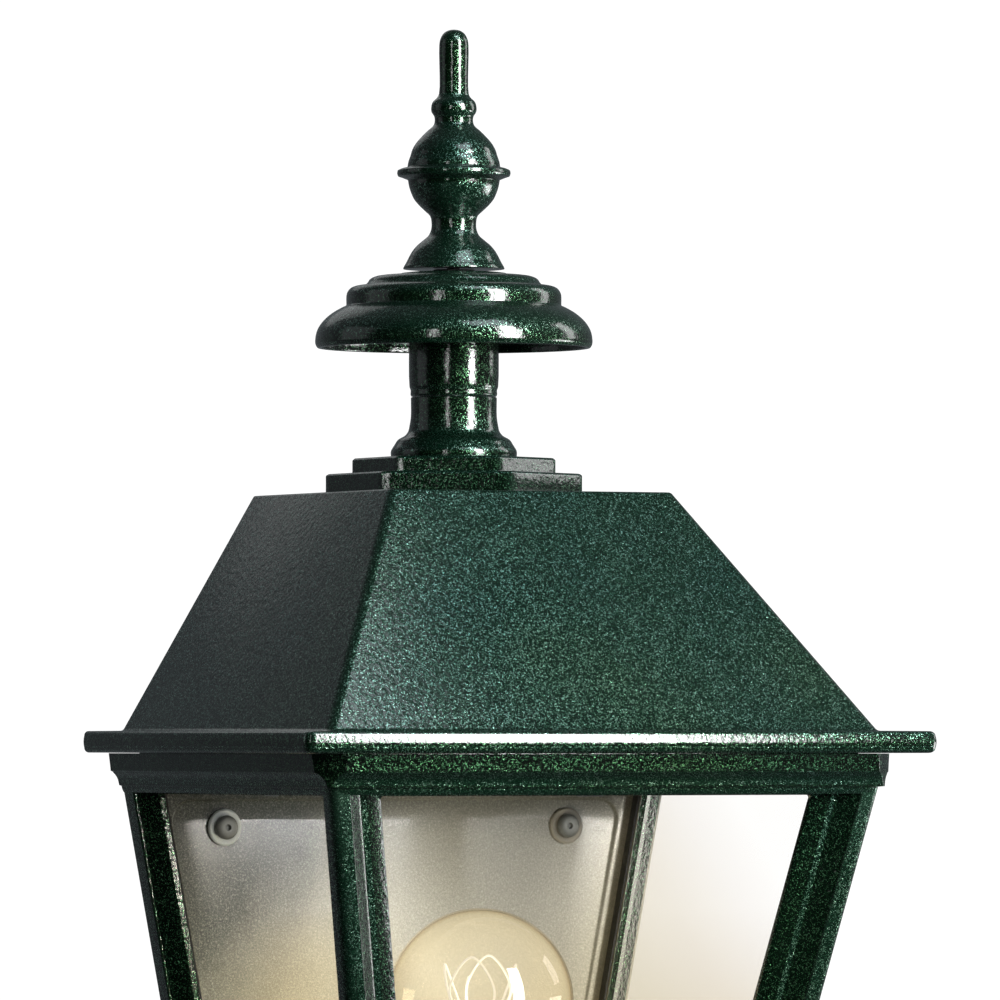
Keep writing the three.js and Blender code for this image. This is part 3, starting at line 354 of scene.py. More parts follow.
def add_piece(name, mesh, material, stands_for, body="body", angle=32, extra=()):
    """Makes an object in metres, with the material and then any extra ones in its slots."""
    verts, faces = mesh
    data = bpy.data.meshes.new(name)
    data.from_pydata([(x * MM, y * MM, (z + EAVE) * MM) for x, y, z in verts], [], faces)
    data.validate()
    for each in (material, *extra):
        data.materials.append(each)
    bm = bmesh.new()
    bm.from_mesh(data)
    bmesh.ops.remove_doubles(bm, verts=bm.verts, dist=1e-6)
    bmesh.ops.dissolve_degenerate(bm, dist=1e-6, edges=bm.edges)
    bmesh.ops.recalc_face_normals(bm, faces=bm.faces)
    bm.to_mesh(data)
    bm.free()
    smooth(data, angle)
    ob = bpy.data.objects.new(name, data)
    bpy.context.scene.collection.objects.link(ob)
    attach(ob, body)
    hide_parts(stands_for)
    return ob


# ------------------------------------------------------------- shader helpers
class Shader:
    """Writes the node tree of a material or a world; values may be numbers or sockets."""

    def __init__(self, owner, output="ShaderNodeOutputMaterial", coordinates="Object"):
        self.owner = owner
        owner.use_nodes = True
        self.tree = owner.node_tree
        self.tree.nodes.clear()
        self.out = self.add(output)
        self.coord = self.add("ShaderNodeTexCoord").outputs[coordinates]

    def add(self, kind, inputs=None, **props):
        node = self.tree.nodes.new(kind)
        for key, value in props.items():
            setattr(node, key, value)
        for key, value in (inputs or {}).items():
            socket = node.inputs[key]
            if isinstance(value, bpy.types.NodeSocket):
                self.tree.links.new(value, socket)
            elif socket.type == "RGBA":
                socket.default_value = (*value, 1)
            else:
                socket.default_value = value
        return node

    def noise(self, scale, detail=2.0, rough=0.5, distortion=0.0, vector=None):
        return self.add("ShaderNodeTexNoise", {
            "Scale": scale, "Detail": detail, "Roughness": rough,
            "Distortion": distortion, "Vector": vector or self.coord}).outputs["Fac"]

    def ramp(self, fac, stops, interp="LINEAR"):
        """Stops are (position, grey level or colour)."""
        node = self.add("ShaderNodeValToRGB", {"Fac": fac})
        node.color_ramp.interpolation = interp
        elements = node.color_ramp.elements
        elements.remove(elements[-1])
        for i, (position, colour) in enumerate(stops):
            if i == 0:
                elements[0].position = position
                element = elements[0]
            else:
                element = elements.new(position)
            if isinstance(colour, (int, float)):
                colour = (colour,) * 3
            element.color = (*colour, 1)
        return node.outputs["Color"]

    def calc(self, operation, first, second):
        return self.add("ShaderNodeMath", {0: first, 1: second},
                        operation=operation).outputs[0]

    def plus(self, first, second):
        return self.calc("ADD", first, second)

    def minus(self, first, second):
        return self.calc("SUBTRACT", first, second)

    def times(self, first, second):
        return self.calc("MULTIPLY", first, second)

    def weighted(self, first, share, second, other_share):
        return self.plus(self.times(first, share), self.times(second, other_share))

    def mix(self, fac, first, second, kind="MIX"):
        # 6 and 7 are the colour inputs, 2 the colour output
        return self.add("ShaderNodeMix", {0: fac, 6: first, 7: second},
                        data_type="RGBA", blend_type=kind).outputs[2]

    def tinted(self, first, second):
        return self.mix(1.0, first, second, kind="MULTIPLY")

    def bump(self, height, strength, distance):
        return self.add("ShaderNodeBump", {
            "Strength": strength, "Distance": distance, "Height": height}).outputs["Normal"]

    def position(self):
        """The x, y and z sockets of the coordinates, by name."""
        return self.add("ShaderNodeSeparateXYZ", {"Vector": self.coord}).outputs

    def front_only(self):
        """One on front faces, zero on back faces."""
        back = self.add("ShaderNodeNewGeometry").outputs["Backfacing"]
        return self.minus(1.0, back)

    def fresnel(self, ior):
        return self.add("ShaderNodeFresnel", {"IOR": ior}).outputs["Fac"]

    def facing(self, blend):
        return self.add("ShaderNodeLayerWeight", {"Blend": blend}).outputs["Facing"]

    def clear(self, colour):
        return self.add("ShaderNodeBsdfTransparent", {"Color": colour}).outputs[0]

    def glossy(self, rough):
        return self.add("ShaderNodeBsdfGlossy", {"Roughness": rough}).outputs[0]

    def blend(self, fac, first, second):
        return self.add("ShaderNodeMixShader", {0: fac, 1: first, 2: second}).outputs[0]

    def surface(self, shader):
        self.tree.links.new(shader, self.out.inputs["Surface"])
        return self.owner

    def principled(self, **values):
        """Principled surface; underscores in names stand for spaces."""
        inputs = {key.replace("_", " "): value for key, value in values.items()}
        return self.surface(self.add("ShaderNodeBsdfPrincipled", inputs).outputs["BSDF"])


def new_shader(name):
    return Shader(bpy.data.materials.new(name))


# ------------------------------------------------------------------ materials
def flake(mat, detail, rough, distortion, fine_scale):
    """Worm-like noise, and the same with finer grain mixed in."""
    worm = mat.noise(scale=1250, detail=detail, rough=rough, distortion=distortion)
    fine = mat.noise(scale=fine_scale, detail=1.5, rough=0.5)
    return worm, mat.weighted(worm, 0.66, fine, 0.34)


def enamel(name):
    """Dark green hammertone enamel: fine metal flake under a clear gloss."""
    mat = new_shader(name)
    worm, fleck = flake(mat, detail=2.2, rough=0.55, distortion=0.9, fine_scale=2900)
    broad = mat.noise(scale=11, detail=2.0, rough=0.5)
    # near-black green between pale flakes
    colour = mat.ramp(fleck, [
        (0.47, (0.0009, 0.0052, 0.0026)), (0.53, (0.0028, 0.0135, 0.0066)),
        (0.572, (0.024, 0.074, 0.040)), (0.625, (0.36, 0.56, 0.43))])
    # slow drift from cool to warm
    tint = mat.ramp(broad, [(0.3, (0.84, 0.94, 1.06)), (0.7, (1.08, 1.05, 0.94))])
    colour = mat.tinted(colour, tint)
    # painted shade on upright faces and painted light on faces turned up or down
    geometry = mat.add("ShaderNodeNewGeometry").outputs
    turn = mat.add("ShaderNodeSeparateXYZ", {"Vector": geometry["True Normal"]})
    upward = mat.plus(mat.times(turn.outputs["Z"], 0.5), 0.5)
    painted_tilt_light = mat.ramp(upward, [
        (0.395, (1.35, 1.35, 1.35)), (0.418, (0.30, 0.44, 0.30)),
        (0.50, (0.36, 0.50, 0.36)), (0.56, (0.50, 0.62, 0.52)), (0.68, (1.10, 1.14, 1.24))])
    colour = mat.tinted(colour, painted_tilt_light)
    # slightly paler on sharp edges
    edge = mat.ramp(geometry["Pointiness"], [(0.515, 0.0), (0.56, 1.0)])
    colour = mat.mix(mat.times(edge, 0.15), colour, (0.04, 0.09, 0.06))
    rough = mat.ramp(worm, [(0.35, 0.40), (0.65, 0.27)])
    metallic = mat.ramp(fleck, [(0.51, 0.0), (0.565, 1.0)])
    base_normal = mat.bump(mat.weighted(worm, 0.7, broad, 1.2), strength=0.6, distance=0.0005)
    # the gloss has its own, softer ripple
    peel = mat.noise(scale=420, detail=1.2, rough=0.45, distortion=0.4)
    coat_normal = mat.bump(mat.weighted(peel, 0.8, worm, 0.30), strength=0.26,
                           distance=0.0005)
    return mat.principled(
        Base_Color=colour, Roughness=rough, Metallic=metallic, Normal=base_normal,
        Coat_Weight=1.0, Coat_Roughness=0.06, Coat_IOR=1.5, Coat_Normal=coat_normal,
        Specular_IOR_Level=0.03)


def enamel_painted_lamplight(name):
    """The same dark enamel on faces towards the lamp, with its light painted in: a painted
    pool of pale flaked light round it and painted shade away from it.
    """
    mat = new_shader(name)
    worm, fleck = flake(mat, detail=2.4, rough=0.6, distortion=0.8, fine_scale=2800)
    place = mat.position()
    below = mat.minus(EAVE * MM, place["Z"])
    # painted lamp light: dark at the upper left, paler to the right and downwards, with a
    # patchy border
    reach = mat.plus(mat.times(mat.plus(place["X"], 0.078), 11.0),
                     mat.times(mat.minus(below, 0.032), 8.0))
    patch = mat.noise(scale=26, detail=2.5, rough=0.6)
    reach = mat.plus(reach, mat.times(mat.minus(patch, 0.5), 0.5))
    across = mat.ramp(reach, [(0.22, 0.0), (1.0, 1.0)], "EASE")
    # painted shade under the cornice and towards the bottom
    cornice_shade = mat.ramp(mat.times(mat.minus(below, 0.022), 34.0),
                     [(0.0, 0.35), (0.75, 1.0)], "EASE")
    low = mat.ramp(mat.times(below, 3.2), [(0.62, 1.0), (0.95, 0.35)], "EASE")
    glow = mat.times(mat.times(across, cornice_shade), low)
    # the enamel's own dark flaked colour, and the pale colour that paints the lamp's light on
    # it
    dark = mat.ramp(fleck, [(0.42, (0.030, 0.036, 0.030)), (0.52, (0.060, 0.066, 0.056)),
                            (0.62, (0.18, 0.19, 0.16))])
    pale = mat.ramp(fleck, [(0.40, (0.30, 0.295, 0.25)), (0.52, (0.36, 0.35, 0.30)),
                            (0.64, (0.47, 0.46, 0.39))])
    colour = mat.mix(glow, dark, pale)
    rough = mat.ramp(worm, [(0.35, 0.5), (0.65, 0.34)])
    return mat.principled(
        Base_Color=colour, Roughness=rough, Metallic=0.12, Coat_Weight=0.6,
        Coat_Roughness=0.12, Normal=mat.bump(worm, strength=0.5, distance=0.0004))


def metal(name, base, rough, scale, grain=(1, 1, 1), spots=(0.8, 1.15), bump=0.25):
    """Metal with fine grain; spots are the darkest and brightest blotches."""
    mat = new_shader(name)
    stretched = mat.add("ShaderNodeMapping", {"Scale": grain, "Vector": mat.coord})
    brushed = mat.noise(scale=scale, detail=3, rough=0.6, vector=stretched.outputs["Vector"])
    blotch = mat.noise(scale=70, detail=3, rough=0.6)
    tone = mat.ramp(blotch, [(0.3, spots[0]), (0.7, spots[1])])
    return mat.principled(
        Base_Color=mat.tinted(base, tone), Metallic=1.0,
        Roughness=mat.plus(mat.times(brushed, 0.16), rough - 0.08),
        Normal=mat.bump(brushed, strength=bump, distance=0.00008))


def plastic(name, base, rough, scale=500, bump=0.2, vary=0.25, metallic=0.0):
    """Grained plain surface; vary is the depth of its blotches."""
    mat = new_shader(name)
    grain = mat.noise(scale=scale, detail=3, rough=0.6)
    blotch = mat.noise(scale=45, detail=2, rough=0.5)
    tone = mat.ramp(blotch, [(0.3, 1 - vary), (0.7, 1 + vary * 0.5)])
    return mat.principled(
        Base_Color=mat.tinted(base, tone), Metallic=metallic,
        Roughness=mat.plus(mat.times(grain, 0.2), rough - 0.1),
        Normal=mat.bump(grain, strength=bump, distance=0.0001))


def pane_glass(name):
    """Clear glass with faint smears, and painted warm lamp glow in its see-through tint,
    growing downwards and rearwards.
    """
    mat = new_shader(name)
    smear = mat.noise(scale=22, detail=3, rough=0.6)
    place = mat.position()
    down = mat.minus((EAVE - 20) * MM, place["Z"])
    rearward = mat.plus(place["Y"], 0.10)
    # painted warm lamp glow: the see-through tint warms and dims towards the bottom and the
    # back
    painted_glow_tint = mat.ramp(mat.weighted(down, 5.2, rearward, 3.2), [
        (0.0, (0.992, 0.990, 0.986)), (0.16, (0.964, 0.953, 0.938)),
        (0.38, (0.926, 0.902, 0.855)), (0.62, (0.900, 0.874, 0.800))])
    front = mat.front_only()
    shine = mat.times(mat.fresnel(ior=1.45), mat.ramp(smear, [(0.3, 0.22), (0.7, 0.32)]))
    shine = mat.times(shine, front)
    return mat.surface(mat.blend(shine, mat.clear(painted_glow_tint), mat.glossy(rough=0.02)))


def bulb_glass(name):
    """Clear lamp glass with an amber wash, seen lit from inside."""
    mat = new_shader(name)
    facing = mat.facing(blend=0.35)
    wash = mat.noise(scale=18, detail=1.5, rough=0.5)
    tint = mat.ramp(facing, [
        (0.0, (0.985, 0.972, 0.925)), (0.55, (0.972, 0.945, 0.872)),
        (0.85, (0.90, 0.82, 0.66)), (1.0, (0.80, 0.70, 0.54))])
    glow_colour = mat.ramp(wash, [(0.35, (1.0, 0.93, 0.78)), (0.7, (1.0, 0.89, 0.66))])
    strength = mat.ramp(facing, [(0.0, 0.11), (0.6, 0.09), (0.85, 0.03), (1.0, 0.01)])
    glow = mat.add("ShaderNodeEmission", {"Color": glow_colour, "Strength": strength})
    front = mat.front_only()
    shine = mat.times(mat.fresnel(ior=1.5), front)
    glass = mat.blend(shine, mat.clear(tint), mat.glossy(rough=0.035))
    both = mat.add("ShaderNodeAddShader", {0: glass, 1: glow.outputs[0]})
    return mat.surface(both.outputs[0])


def stem_glass(name):
    """Glass with a thin uneven haze."""
    mat = new_shader(name)
    haze = mat.add("ShaderNodeBsdfDiffuse", {"Color": (0.9, 0.84, 0.7)})
    uneven = mat.noise(scale=220, detail=2, rough=0.5)
    glass = mat.blend(mat.facing(blend=0.45), mat.clear((0.96, 0.93, 0.86)),
                      mat.glossy(rough=0.06))
    amount = mat.ramp(uneven, [(0.4, 0.12), (0.7, 0.28)])
    return mat.surface(mat.blend(amount, glass, haze.outputs[0]))


def glowing(name, colour, strength):
    mat = new_shader(name)
    uneven = mat.noise(scale=300, detail=1.5, rough=0.5)
    glow = mat.mix(mat.ramp(uneven, [(0.35, 0.0), (0.65, 1.0)]), colour, (1.0, 0.93, 0.80))
    return mat.principled(
        Base_Color=mat.tinted(glow, (0.10, 0.10, 0.09)), Roughness=0.4,
        Emission_Color=glow, Emission_Strength=strength)


GREEN = enamel("green_enamel")
ENAMEL_LAMPLIT = enamel_painted_lamplight("green_enamel_painted_lamplight")
PANE = pane_glass("pane_glass")
RUBBER = plastic("seal_rubber", (0.018, 0.019, 0.020), rough=0.8, scale=900, bump=0.35)
ZINC = metal("zinc_steel", (0.52, 0.54, 0.56), rough=0.36, scale=420, spots=(0.72, 1.12))
BRASS = metal("brass", (0.72, 0.52, 0.22), rough=0.30, grain=(1, 1, 16), scale=700)
HOLDER = plastic("holder_black", (0.014, 0.014, 0.015), rough=0.38, scale=700, bump=0.12)
CERAMIC = plastic("ceramic_white", (0.78, 0.76, 0.70), rough=0.35, scale=350, bump=0.15,
                  vary=0.08)
TERMINAL = plastic("terminal_white", (0.80, 0.79, 0.73), rough=0.48, scale=600, bump=0.15,
                   vary=0.08)
CABLE = plastic("cable_black", (0.012, 0.012, 0.013), rough=0.55, scale=800, bump=0.25)
BROWN = plastic("wire_brown", (0.13, 0.045, 0.015), rough=0.42, scale=800)
BLUE = plastic("wire_blue", (0.02, 0.07, 0.24), rough=0.42, scale=800)
WASHER = plastic("washer_grey", (0.72, 0.78, 0.78), rough=0.55, bump=0.3, vary=0.15)
# darker copy of the washer grey with painted shade, for the right washer, which sits in shade
WASHER_SHADED = plastic("washer_grey_painted_shade", (0.34, 0.32, 0.27), rough=0.6, bump=0.3, vary=0.2)
SCREW = plastic("wall_screw_zinc", (0.27, 0.28, 0.265), rough=0.5, scale=420, metallic=0.5)
BULB = bulb_glass("bulb_glass")
BULB_CAP = metal("bulb_cap_metal", (0.70, 0.66, 0.56), rough=0.26, scale=500)
SOLDER = metal("contact_solder", (0.55, 0.55, 0.54), rough=0.42, scale=900, bump=0.5)
STEM = stem_glass("filament_glass")
FILAMENT = glowing("filament_glow", (1.0, 0.96, 0.89), strength=0.74)

# ----------------------------------------------------------------------- roof
# (half width, depth, height) at the foot and the top of the slopes
SLOPE_FOOT = (131.0, 207.9, 5.5)
SLOPE_TOP = (68.1, 137.9, 107.9)
ROOF_THICKNESS = 4        # of the flat top
SLOPE_WALL = 4.375        # of the slopes, measured level
ROOF_REAR = 0.6           # gap behind the roof
ROOF_SEGS = 8
# heights down the inner side, and how much each shrinks the opening
ROOF_UNDER_Z = SLOPE_TOP[2] - ROOF_THICKNESS
ROOF_INNER = [
    (ROOF_UNDER_Z, 2.2), (ROOF_UNDER_Z - 0.6, 0.7), (ROOF_UNDER_Z - 2.2, 0.0), (70, 0),
    (38, 0), (SLOPE_FOOT[2], 0), (-RIM + 0.5, 0), (-RIM, -0.5)]


def rim_nose():
    """(offset, height) up the slightly bulged rim face, with rounded edges."""
    low_r, high_r = 2.2, 2.0
    nose = []
    for i in range(8):
        angle = -math.pi / 2 + math.pi / 2 * i / 7
        nose.append((-2.55 + low_r * math.cos(angle),
                     -RIM + low_r + low_r * math.sin(angle)))
    for i in range(1, 6):
        nose.append((-0.35 * (i / 3 - 1) ** 2, -2.5 + 5.2 * i / 6))
    for i in range(8):
        angle = math.pi / 2 * i / 7
        nose.append((-2.35 + high_r * math.cos(angle),
                     RIM - high_r + high_r * math.sin(angle)))
    return nose


def slope_at(z):
    share = (z - SLOPE_FOOT[2]) / (SLOPE_TOP[2] - SLOPE_FOOT[2])
    return [foot + (top - foot) * share for foot, top in zip(SLOPE_FOOT[:2], SLOPE_TOP[:2])]


def roof_mesh():
    nose = [(ROOF_HALF_WIDTH + out, ROOF_DEPTH + out, z) for out, z in rim_nose()]
    top_x, top_y, top_z = SLOPE_TOP
    slope = fillet([nose[-1], (SLOPE_FOOT[0] + 0.2, SLOPE_FOOT[1] + 0.2, RIM + 0.15),
                    SLOPE_TOP, (top_x - 14, top_y - 14, top_z)], [0, 3.4, 2.4, 0], segs=6)
    loops = []
    for half_width, depth, z in nose[:-1] + slope:
        corner = 4.0 - 0.2 * max(0.0, min(1.0, (z - RIM) / 6.0))
        loops.append(flat_backed(half_width, depth, z, corner, 0.7, ROOF_REAR, ROOF_SEGS))
    # the top closes in on a round hole at the stack
    for radius, z in ((30, top_z), (7.5, top_z), (5.6, top_z - 0.3),
                      (5.6, ROOF_UNDER_Z + 0.3), (7.5, ROOF_UNDER_Z)):
        loops.append(matching_circle(loops[0], radius, z))
    for z, shrink in ROOF_INNER:
        half_width, depth = slope_at(max(z, SLOPE_FOOT[2]))
        loops.append(flat_backed(
            half_width - SLOPE_WALL - shrink, depth - SLOPE_WALL - shrink, z, 3.0, 2.0,
            ROOF_REAR + 3.5 + max(shrink, 0) * 0.5, ROOF_SEGS))
    return skin(loops)


add_piece("roof_shell", roof_mesh(), GREEN, "roof", body="roof", angle=28)

# -------------------------------------------------------------- chimney plinth
PLINTH_BOTTOM = 108.15
# two hexagonal steps, then a round flare; each table is (radius, height)
PLINTH_LOWER = [(38, PLINTH_BOTTOM), (56.4, PLINTH_BOTTOM), (56.4, 116.2), (55.0, 116.95),
                (46, 116.95)]
PLINTH_UPPER = [(44.9, 117.1), (44.7, 117.4), (44.7, 122.9), (43.5, 123.8), (34, 123.8)]
PLINTH_FLARE = [
    (27.3, 124.0), (27.5, 124.8), (27.5, 126.8), (25.9, 129.6), (24.4, 131.8),
    (21.4, 133.6), (20.0, 135.4), (19.3, 138.4), (18.8, 142), (18.8, 150.4)]
PLINTH_TOP_AND_BORE = [
    (18.8, 142.5), (18.8, 150.4), (4.0, 150.4), (4.0, 145.5), (14.5, 145.5), (14.5, 118.0),
    (34, 112.5), (38, PLINTH_BOTTOM)]


def hexagon(angle, sharpness=120):
    """Radius of a hexagon with softened corners, one at its corners."""
    total = 0.0
    for k in range(6):
        cosine = math.cos(angle - (math.pi / 3 * k))
        if cosine > 0:
            total += cosine ** sharpness
    return math.cos(math.pi / 6) / total ** (1 / sharpness)


def plinth_mesh():
    hexagonal = fillet(PLINTH_LOWER, [0, 0.5, 0.8, 0.8, 0])
    hexagonal += fillet(PLINTH_UPPER, [0, 0.4, 0.8, 0.8, 0])
    circular = [(28.4, 123.8)] + refine(PLINTH_FLARE, corner=60, sub=5)[:-1]
    circular += fillet(PLINTH_TOP_AND_BORE, [0, 0.5, 0.4, 0.4, 1, 1, 1, 0])[1:-1]
    loops = []
    for radius, z in hexagonal:
        loops.append(round_loop(lambda angle: radius * hexagon(angle), z, 180, STACK_Y))
    for radius, z in circular:
        loops.append(round_loop(lambda angle: radius, z, 180, STACK_Y))
    return skin(loops)


add_piece("plinth_casting", plinth_mesh(), GREEN, "chimney_plinth", body="roof", angle=30)

# ----------------------------------------------------- chimney cap and finial
CHIMNEY_CAP = [
    (15, 150.7), (18.5, 150.7), (18.9, 151.3), (18.9, 153.4), (19.4, 155.2), (19.4, 193.0),
    (22.0, 195.4), (39.5, 195.0), (42.6, 192.6), (43.2, 187.6), (50, 184.4), (54.6, 180.4),
    (57.0, 176.0), (57.6, 171.9), (59.6, 171.9), (60.5, 173.6), (60.5, 176.4), (59.8, 179.4),
    (58.4, 182.0), (56.2, 184.6), (53.0, 187.2), (49.0, 189.5), (47.0, 190.4), (46.8, 195.6),
    (45.4, 197.8), (43.4, 198.8), (38.6, 199.4), (37.6, 200.6), (36.6, 202.0), (33.6, 203.3),
    (24.0, 203.9), (22.9, 204.6), (4, 204.6), (4, 198.6), (15, 196.0), (15, 150.7)]
FINIAL_WASHER = [(4, 204.9), (9, 204.9), (9, 206.1), (4, 206.1), (4, 204.9)]
FINIAL = [
    (0, 233), (3.12, 231.2), (3.12, 206.4), (22.2, 206.4), (21.9, 207.4), (21.2, 208.6),
    (20.3, 210.3), (19.3, 212.3), (17.9, 214.6), (16.0, 216.8), (13.4, 219.0), (11.0, 221.2),
    (9.9, 224.0), (9.8, 227.0), (10.4, 229.6), (12.6, 231.8), (15.3, 234.4), (17.4, 237.0),
    (18.7, 239.8), (19.6, 242.6), (20.1, 245.4), (22.6, 246.4), (24.4, 247.0), (24.8, 248.2),
    (24.6, 249.6), (22.8, 250.4), (20.3, 251.0), (19.9, 253.4), (19.0, 256.0), (18.2, 258.6),
    (16.6, 261.4), (14.2, 264.2), (11.6, 266.8), (9.0, 269.2), (8.4, 271.0), (8.6, 273.2),
    (9.8, 275.2), (9.9, 277.4), (9.2, 279.6), (7.4, 281.4), (6.5, 283.2), (6.4, 304.4),
    (5.9, 307.2), (4.5, 309.6), (2.4, 310.9), (0, 311.3)]

add_piece("chimney_cap_casting",
          turned(refine(CHIMNEY_CAP, corner=42, sub=5, r=0.7)[:-1], sides=180, y=STACK_Y,
                 closed=True), GREEN, "chimney_cap", body="roof")
add_piece("finial_washer_ring",
          turned(refine(FINIAL_WASHER, r=0.25)[:-1], sides=72, y=STACK_Y, closed=True),
          RUBBER, "finial_washer", body="finial_washer")
add_piece("finial_turned",
          turned(refine(FINIAL, corner=44, sub=5, r=0.5), sides=128, y=STACK_Y),
          GREEN, "finial", body="finial")

# ----------------------------------------------------------------- body frame
POST_BOTTOM, POST_TOP, POST_STEPS = -278, -15.5, 12


def post(side, front):
    """Corner post; its section is (inwards from the side, from the front or back)."""
    if front:
        section = fillet([(0, 0), (8.9, 0), (8.9, 8.9), (0, 8.9)],
                         [POST_RADIUS, 0.7, 0.3, 0.7], closed=True)
    else:
        section = fillet([(0, 0), (0, 9.9), (10, 9.9), (10, 0)], [0.8, 0.8, 0.3, 0.3],
                         closed=True)
    loops = []
    for i in range(POST_STEPS + 1):
        z = POST_BOTTOM + (POST_TOP - POST_BOTTOM) * i / POST_STEPS
        loops.append([(side * (half_width_at(z) - inward),
                       -(depth_at(z) - in_y) if front else -in_y, z)
                      for inward, in_y in section])
    return skin(loops, "stack")


def opening(kind, inset, z_top, z_bottom, rear=0.0):
    """Outline in one wall: (x, z) in the front or back, (y, z) in a side wall."""
    reach = half_width_at if kind == "front" else depth_at
    top, bottom = reach(z_top) - inset, reach(z_bottom) - inset
    if kind == "front":
        return [(-top, z_top), (-bottom, z_bottom), (bottom, z_bottom), (top, z_top)]
    return [(rear, z_top), (rear, z_bottom), (-bottom, z_bottom), (-top, z_top)]


def on_wall(kind, outline, sunk):
    """Lays an outline into its tapered wall, sunk below the wall's face."""
    if kind == "front":
        return [(x, -(depth_at(z) - sunk), z) for x, z in outline]
    return [(SIDES[kind] * (half_width_at(z) - sunk), y, z) for y, z in outline]


# section of a window surround: outwards from the daylight edge, depth;
# slope from the bar, cove, flat strip, bevel, then the jamb towards the pane
LIP_SECTION = fillet(
    [(19.5, 12.9), (19.5, 0.12), (11.2, 7.1), (8.0, 7.1), (0.0, 10.0), (0.0, 12.9)],
    [0.3, 0.3, 2.2, 0.45, 0.5, 0.3], closed=True)
# outwards from the daylight edge, distance of a side window's rear edge from the back
LIP_REAR = [(0.0, 14.5), (8.0, 13.1), (11.2, 12.9), (19.5, 9.3)]
DAYLIGHT_INSET = 27.5


def lip_rear(outward):
    for (start, first), (end, last) in zip(LIP_REAR, LIP_REAR[1:]):
        if outward <= end + 1e-6:
            return first + (last - first) * (outward - start) / (end - start)
    return LIP_REAR[-1][1]


def window_lip(kind):
    corner_segs, run_parts = 8, 8
    loops = []
    for outward, sunk in LIP_SECTION:
        corners = opening(kind, DAYLIGHT_INSET - outward, -22.6 + 0.4 * outward,
                          -256.5 - outward, -lip_rear(outward))
        path = fillet(corners, 1.2 + outward * 0.08, closed=True, segs=corner_segs)
        # the straight runs between the rounded corners are divided
        divided = []
        for i, point in enumerate(path):
            divided.append(point)
            if (i + 1) % (corner_segs + 1) == 0:
                following = path[(i + 1) % len(path)]
                divided += [point.lerp(following, k / run_parts)
                            for k in range(1, run_parts)]
        loops.append(on_wall(kind, divided, sunk))
    return skin(loops)


def bottom_rail():
    section = fillet(
        [(3.0, BODY_BOTTOM), (3.0, -279.0), (1.6, -276.9), (0.25, -275.5), (-0.3, -275.0),
         (-9.9, -275.0), (-9.9, BODY_BOTTOM)],
        [0.7, 1.2, 1.2, 0.5, 0.3, 0.3, 0.3], closed=True)
    return skin([open_backed(half_width_at(z) + out, depth_at(z) + out, z, rear=0.05,
                             r=max(POST_RADIUS + out, 1.2), segs=8)
                 for out, z in section], "bar")


# (outwards from the body, height)
CORNICE_OUTSIDE = [
    (0.3, -22.0), (0.9, -21.0), (1.3, -19.9), (1.4, -19.2), (2.6, -18.9), (2.8, -17.8),
    (3.4, -15.9), (4.4, -14.4), (5.4, -13.4), (5.6, -13.0), (6.6, -12.7), (7.0, -9.5),
    (7.6, -4.95)]
CORNICE_INSIDE = [(-9.6, -5.0), (-9.6, -21.95)]


def cornice():
    section = [tuple(point) for point in refine(CORNICE_OUTSIDE, corner=30, sub=3, r=0.35)]
    loops = []
    for out, z in section + CORNICE_INSIDE:
        width, depth = BODY_HALF_WIDTH + out, BODY_DEPTH + out
        # upright 45 degree facet above, the body's rounded corner below
        if out > 2:
            facet = max(11.6 - 2 * (7.6 - out), 1.1)
        else:
            facet = 3.75 if out > 0 else 1.6
        points = [(-width, -0.05, z), (-width, -depth + facet, z), (-width + facet, -depth, z),
                  (width - facet, -depth, z), (width, -depth + facet, z), (width, -0.05, z)]
        r = POST_RADIUS if 0 < out <= 2 else min(0.55, facet * 0.35)
        loops.append(fillet(points, [0, r, r, r, r, 0], segs=3))
    return skin(loops, "bar")


def roof_upstand():
    """Low rib on the cornice, inside the roof; open at the back."""
    section = fillet([(0.0, -5.5), (0.0, -0.85), (-3.2, -0.85), (-3.2, -5.5)],
                     [0.2, 0.9, 0.9, 0.2], closed=True)
    return skin([open_backed(125.1 + out, 202.0 + out, z, rear=5.1,
                             r=max(3.5 + out, 0.6), segs=5) for out, z in section], "bar")


WALL_FIXING_X, WALL_FIXING_Z = 84, -37.5
CABLE_HOLE_Z = -236
# (x, z, radius)
WALL_HOLES = [(-WALL_FIXING_X, WALL_FIXING_Z, 3.2), (WALL_FIXING_X, WALL_FIXING_Z, 3.2),
              (0, CABLE_HOLE_Z, 6.0), (-38, -226, 2.15)]


